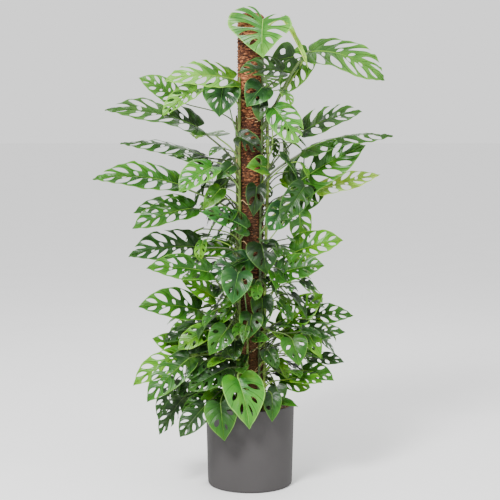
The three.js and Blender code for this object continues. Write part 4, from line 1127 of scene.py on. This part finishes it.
def split_blade(leaf):
    """The flat blade as points and triangles, counter-clockwise in (along, across)."""
    step_size = leaf["mesh"]
    margins, holes = [], []
    for side, sign in ((0, 1), (1, -1)):
        margin, openings = half_blade(half_of(leaf, side), leaf["pattern"][side], step_size)
        margins.append(margin * [1, sign])
        holes.extend(opening * [1, sign] for opening in openings)
    contour = np.vstack([margins[0], margins[1][-2:0:-1]])
    along = np.linspace(0, leaf["length"], int(leaf["length"] / step_size) + 1)[1:-1]
    rings = [contour, *holes]
    fixed = np.vstack([*rings, np.stack([along, np.zeros_like(along)], axis=1)])
    low, high = contour.min(axis=0), contour.max(axis=0)
    pitch = step_size * MESH["grid"]
    columns = np.arange(low[0], high[0], pitch)
    rows = np.arange(low[1], high[1], pitch * MESH["row"])
    grid = np.array([(x + pitch / 2 * (index % 2), y) for index, y in enumerate(rows) for x in columns])
    grid = grid[on_blade(grid, contour, holes)]
    gap = np.linalg.norm(grid[:, None, :] - fixed[None, :, :], axis=2).min(axis=1)
    points = np.vstack([fixed, grid[gap > pitch * MESH["clear"]]])
    edges, start = [], 0
    for ring in rings:
        count = len(ring)
        edges.extend((start + i, start + (i + 1) % count) for i in range(count))
        start += count
    notch, tip = 0, len(margins[0]) - 1
    line = [notch, *range(start, start + len(along)), tip]
    edges.extend(zip(line, line[1:]))
    result = delaunay_2d_cdt([Vector(point) for point in points.tolist()], edges, [], 0, 1e-4)
    flat = np.array([list(point) for point in result[0]])
    faces = np.array([face for face in result[2] if len(face) == 3])
    faces = faces[on_blade(flat[faces].mean(axis=1), contour, holes)]
    a, b, c = (flat[faces[:, corner]] for corner in range(3))
    area = (b[:, 0] - a[:, 0]) * (c[:, 1] - a[:, 1]) - (c[:, 0] - a[:, 0]) * (b[:, 1] - a[:, 1])
    faces[area < 0] = faces[area < 0][:, ::-1]
    return flat, faces[np.abs(area) > 1e-5]


def vein_places(leaf, flat, pattern):
    """How far each point lies among the side veins and how far out towards the margin."""
    count = max(len(pattern), 3)
    spot = np.stack([flat[:, 0], np.abs(flat[:, 1])], axis=1)
    straight = spot
    for _ in range(3):
        place, way, run = straight_place(leaf, straight)
        aside = np.stack([-run[:, 1], run[:, 0]], axis=1)
        straight = spot - aside * (VEIN_BOW * np.sin(math.pi * np.clip(way, 0, 1)))[:, None]
    return np.stack([place * count, way], axis=1)


def straight_place(leaf, spot):
    """Where points lie among straight side veins: which one, how far out, and that vein's run."""
    places = np.linspace(-0.12 if leaf["shape"] == "lobed" else -0.25, 1.2, 59)
    starts, ends = np.transpose([space_line(leaf, place)[:2] for place in places], (1, 0, 2))
    run = ends - starts
    reach = np.linalg.norm(run, axis=1)
    offset = spot[:, None, :] - starts[None, :, :]
    aside = (offset[:, :, 0] * run[:, 1] - offset[:, :, 1] * run[:, 0]) / reach
    last = len(places) - 1
    ahead = np.where((aside < 0).any(axis=1), np.clip(np.argmax(aside < 0, axis=1), 1, last), last)
    before = ahead - 1
    rank = np.arange(len(spot))
    one, two = aside[rank, before], aside[rank, ahead]
    share = np.clip(one / np.where(np.abs(one - two) < 1e-9, 1e-9, one - two), -3, 4)
    place = places[before] + share * (places[1] - places[0])
    start = starts[before] + (starts[ahead] - starts[before]) * share[:, None]
    way = np.linalg.norm(spot - start, axis=1) / (reach[before] + (reach[ahead] - reach[before]) * share)
    return place, np.clip(way, 0, 1.2), run[before]


def blade_surface(leaf, flat, lift, veins=None):
    """Bends the flat blade to its place, as the solid is bent, and quilts it between its veins."""
    length, half, bend = leaf["length"], leaf["half"], leaf["bend"]
    x, y = flat[:, 0], flat[:, 1]
    radius = length / (2 * math.sin(bend / 2))
    turn = (x / length - 0.5) * bend
    along = radius * (np.sin(turn) + math.sin(bend / 2))
    up = radius * (np.cos(turn) - math.cos(bend / 2))
    across = np.abs(y) / half
    swing = np.sin(leaf["phase"] + np.sign(y) * WAVE["apart"] + (x / length) * WAVE["turns"])
    ripple = leaf["wave"] * half * across ** 2 * swing
    rise = leaf["fold"] * (np.abs(y) - DROOP * half * across ** 2) + ripple + lift
    if veins is not None:
        among, way = 2 * math.pi * veins[:, 0], np.clip(veins[:, 1], 0, 1)
        rise += QUILT * length * (0.5 - 0.5 * np.cos(among)) * np.sin(math.pi * way)
        rise += CURL * length * np.sin(among + leaf["phase"]) * way ** 3
        rise -= GROOVE["deep"] * np.exp(-(y / GROOVE["wide"]) ** 2) * np.clip(1 - x / length, 0.15, 1)
    return (leaf["base"] + np.outer(along + rise * np.sin(turn), leaf["chord"])
            + np.outer(up + rise * np.cos(turn), leaf["normal"]) + np.outer(y, leaf["side"]))


def leaf_spots(leaf):
    """Spots over a blade by which its distance from other leaves is measured."""
    rows = ((0, 0.6), (0.25, 0.9), (0.5, 0.8), (0.75, 0.4))
    spots = [(along, across) for along, wide in rows for across in (0, -wide, wide)] + [(1, 0)]
    return blade_surface(leaf, np.array(spots) * [leaf["length"], leaf["half"]], 0.0)


def thicket_row(draw, stem, low, high, first, last, short, long):
    """A drawn leaf for one zone of the thicket, in the form of the leaf tables."""
    foot_height = between(draw, low, high)
    azimuth = between(draw, first, last)
    length = between(draw, short, long)
    limit = np.interp(foot_height, *THICKET_REACH)
    reach = between(draw, 70, max(limit - length * 0.55, 80))
    rise = between(draw, 0.1, 0.45) * (reach - 40) + 12
    notch = np.array([POLE["x"], 0, foot_height + rise]) + turn_direction(azimuth) * reach
    heading = turn_direction(azimuth + between(draw, -48, 48), between(draw, -62, -4))
    facing = (azimuth * 0.8 + between(draw, -22, 22), between(draw, 22, 62))
    pattern = THICKET_PATTERNS[int(next(draw) * len(THICKET_PATTERNS))]
    shape = THICKET_SHAPES[int(next(draw) * len(THICKET_SHAPES))]
    width = length * between(draw, 0.54, 0.7)
    return [stem, foot_height, *notch, *notch + heading * length, width, *facing,
            between(draw, 15, 50), between(draw, 6, 18), pattern, shape]


def has_room(spots, taken):
    """Whether a drawn leaf stays clear of the pole, of the pot's rim and of the leaves there are."""
    reach = np.hypot(spots[:, 0] - POLE["x"], spots[:, 1])
    if reach.min() < THICKET_CLEAR["pole"] or (reach > np.interp(spots[:, 2], *THICKET_REACH)).any():
        return False
    if spots[:, 2].min() < POT["height"] + THICKET_CLEAR["rim"] or spots[:, 1].min() < THICKET_FRONT:
        return False
    return np.linalg.norm(taken[:, None, :] - spots[None, :, :], axis=2).min() >= THICKET_CLEAR["leaf"]


def grow_thicket():
    """Leaves between those of the tables, each where it has room. Returns (stem, leaf, green) for each."""
    rows = [row[1:] for row in LEAVES] + STEM_LEAVES
    taken = np.vstack([leaf_spots(describe_leaf(row, 0)) for row in rows])
    draw = seeded(812)
    grown = []
    for wanted, *zone in THICKET:
        stem, tones = zone[0], zone[7:]
        for count in range(wanted):
            for _ in range(THICKET_TRIES):
                leaf = describe_leaf(thicket_row(draw, *zone[:7]), THICKET_ORDER + len(grown))
                spots = leaf_spots(leaf)
                if has_room(spots, taken):
                    taken = np.vstack([taken, spots])
                    grown.append((stem, leaf, tones[count % len(tones)]))
                    break
    for row in HANGING_LEAVES:
        grown.append((row[0], describe_leaf(row, THICKET_ORDER + len(grown)), row[-1]))
    return grown


def petiole_path(leaf):
    foot = stem_place(leaf["stem"], leaf["foot_height"])
    outward = unit(np.array([foot[0] - POLE["x"], foot[1], 0.0]))
    distance = np.linalg.norm(foot - leaf["base"])
    start, ahead = blade_surface(leaf, np.array([[0.0, 0.0], [leaf["length"] * 0.05, 0.0]]), 0.0)
    back = unit(start - ahead)
    leave = start + back * PETIOLE["leave"] * distance - leaf["normal"] * PETIOLE["behind"] * distance
    arrive = foot + outward * PETIOLE["out"] * distance
    arrive[2] = foot[2] + leaf["lift"] * distance
    return bezier([start + (ahead - start) * 0.35, leave, arrive, foot + outward], 26)


def add_leaf(skin, leaf, slots):
    """A blade with its petiole; slots are the places of the upper, under, rim and stalk materials."""
    upper, under, rim, stalk_slot = slots
    flat, faces = split_blade(leaf)
    sides = [vein_places(half_of(leaf, side), flat, leaf["pattern"][side]) for side in (0, 1)]
    on_first = flat[faces].mean(axis=1)[:, 1] > 0
    veins = np.where(on_first[:, None, None], sides[0][faces], sides[1][faces])
    relief = np.where((flat[:, 1] > 0)[:, None], sides[0], sides[1])
    spread = (flat / [leaf["length"], leaf["half"]])[faces]
    high, low = (blade_surface(leaf, flat, lift, relief) for lift in (BLADE / 2, -BLADE / 2))
    skin.add(high, faces[:, ::-1], upper, veins[:, ::-1], spread[:, ::-1])
    skin.add(low, faces, under, veins, spread)
    sides_of_faces = {pair for face in faces.tolist() for pair in zip(face, face[1:] + face[:1])}
    free = sorted((a, b) for a, b in sides_of_faces if (b, a) not in sides_of_faces)
    walls = [[a, b, b + len(flat), a + len(flat)] for a, b in free]
    skin.add(np.vstack([high, low]), walls, rim)
    path = petiole_path(leaf)
    share = np.linspace(0, 1, len(path))
    at_blade, at_stem = np.exp(-(share / 0.05) ** 2), np.clip(share - 0.82, 0, 1) / 0.18
    radii = leaf["petiole"] * (0.82 + 0.1 * share + 0.4 * at_blade + 0.75 * at_stem)
    radii[0] *= 0.5
    tube(skin, path, radii, 8, stalk_slot)
    add_midrib(skin, leaf, under)


def add_midrib(skin, leaf, slot):
    """The rib that stands out of the underside, thinning to the tip."""
    count = MIDRIB["spots"]
    along = np.linspace(0.01, 0.9, count) * leaf["length"]
    path = blade_surface(leaf, np.stack([along, np.zeros_like(along)], axis=1), -MIDRIB["sunk"])
    tube(skin, path, np.linspace(leaf["petiole"] * MIDRIB["foot"], MIDRIB["tip"], count), 6, slot)


# ---------------------------------------------------------------- the plant, put together
def keep(piece, node):
    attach(piece, "root")
    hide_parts(node)


def make_leaves(greens):
    for order, (name, *row) in enumerate(LEAVES):
        skin = Skin()
        add_leaf(skin, describe_leaf(row, order, name), range(4))
        tone = row[-1]
        keep(skin.piece(f"holed_leaf_{name}", greens[tone]), f"leaf_{name}")


STEM_TONES = ("mid", "bright", "dark")


def make_stems(greens):
    olive = climbing_stem("stem_olive", (66, 88, 26), (100, 122, 44), (92, 76, 42))
    light = climbing_stem("stem_light", (78, 110, 34), (124, 150, 58), (84, 66, 38))
    dark = climbing_stem("stem_dark", (38, 58, 20), (64, 86, 32), (70, 54, 30))
    bark = {"left": olive, "back_left": olive, "right": light, "front": light, "crown": dark,
            "back_right": dark}
    root = aerial_root()
    leaves = [(row[0], describe_leaf(row, order + STEM_LEAF_ORDER), STEM_TONES[order % len(STEM_TONES)])
              for order, row in enumerate(STEM_LEAVES)] + grow_thicket()
    for seed, name in enumerate(STEMS):
        skin = Skin()
        add_stem(skin, name, 0, 1, ROOTS["seed"] + seed)
        for stem, leaf, tone in leaves:
            if stem == name:
                first = 2 + 4 * STEM_TONES.index(tone)
                add_leaf(skin, leaf, range(first, first + 4))
        materials = [bark[name], root, *(material for tone in STEM_TONES for material in greens[tone])]
        keep(skin.piece(f"climbing_stem_{name}", materials), f"stem_{name}")


def add_light(name, place, aim, size, power):
    """A round lamp that shines from its place to the point aimed at."""
    lamp = bpy.data.lights.new(name, "AREA")
    lamp.shape, lamp.size, lamp.energy = "DISK", size, power
    thing = bpy.data.objects.new(name, lamp)
    thing.location = place
    thing.rotation_euler = (Vector(aim) - Vector(place)).to_track_quat("-Z", "Y").to_euler()
    bpy.context.scene.collection.objects.link(thing)


def set_studio():
    """A white room: an even sky, three lamps and a floor."""
    world = bpy.data.worlds.new("studio")
    world.use_nodes = True
    sky = world.node_tree.nodes["Background"]
    sky.inputs["Color"].default_value = (1.0, 1.0, 1.0, 1.0)
    sky.inputs["Strength"].default_value = 1.3
    bpy.context.scene.world = world
    add_light("key", (-1.5, -3.4, 3.6), (0, 0, 0.8), 1.2, 370)
    add_light("fill", (2.8, -2.4, 1.8), (0, 0, 0.7), 2.2, 30)
    add_light("back", (0.4, 2.6, 3.2), (0, 0, 0.9), 2.0, 30)
    mesh = bpy.data.meshes.new("floor")
    mesh.from_pydata([(-30, -30, 0), (30, -30, 0), (30, 60, 0), (-30, 60, 0)], [], [(0, 1, 2, 3)])
    floor = bpy.data.objects.new("floor", mesh)
    bpy.context.scene.collection.objects.link(floor)
    look = Look("floor_white", Roughness=0.9)
    mesh.materials.append(look.finish(look.paint((244, 244, 244), (look.spots(3.0), (248, 248, 248)))))


CAMERA = {"sensor": 36, "lens": 95.6, "away": 4.0, "height": 1.11, "down": 5.59}     # mm, metres, degrees


def set_camera():
    view = bpy.data.cameras.new("view")
    view.sensor_width = CAMERA["sensor"]
    view.lens = CAMERA["lens"]
    camera = bpy.data.objects.new("view", view)
    camera.location = (0, -CAMERA["away"], CAMERA["height"])
    camera.rotation_euler = (math.radians(90 - CAMERA["down"]), 0, 0)
    bpy.context.scene.collection.objects.link(camera)
    bpy.context.scene.camera = camera


set_camera()
set_studio()
GREEN_LOOKS = {tone: [leaf_upper(tone), leaf_under(tone), leaf_rim(tone), stalk(tone)] for tone in GREENS}
keep(make_pot(pot_shell()), "pot")
keep(make_soil(potting_mix(), bark_chip()), "soil")
keep(make_coir(coir_fibre(), loose_fibre()), "pole_coir")
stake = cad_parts["pole_stake"]
stake.data.materials.clear()
stake.data.materials.append(stake_wood())
make_stems(GREEN_LOOKS)
make_leaves(GREEN_LOOKS)
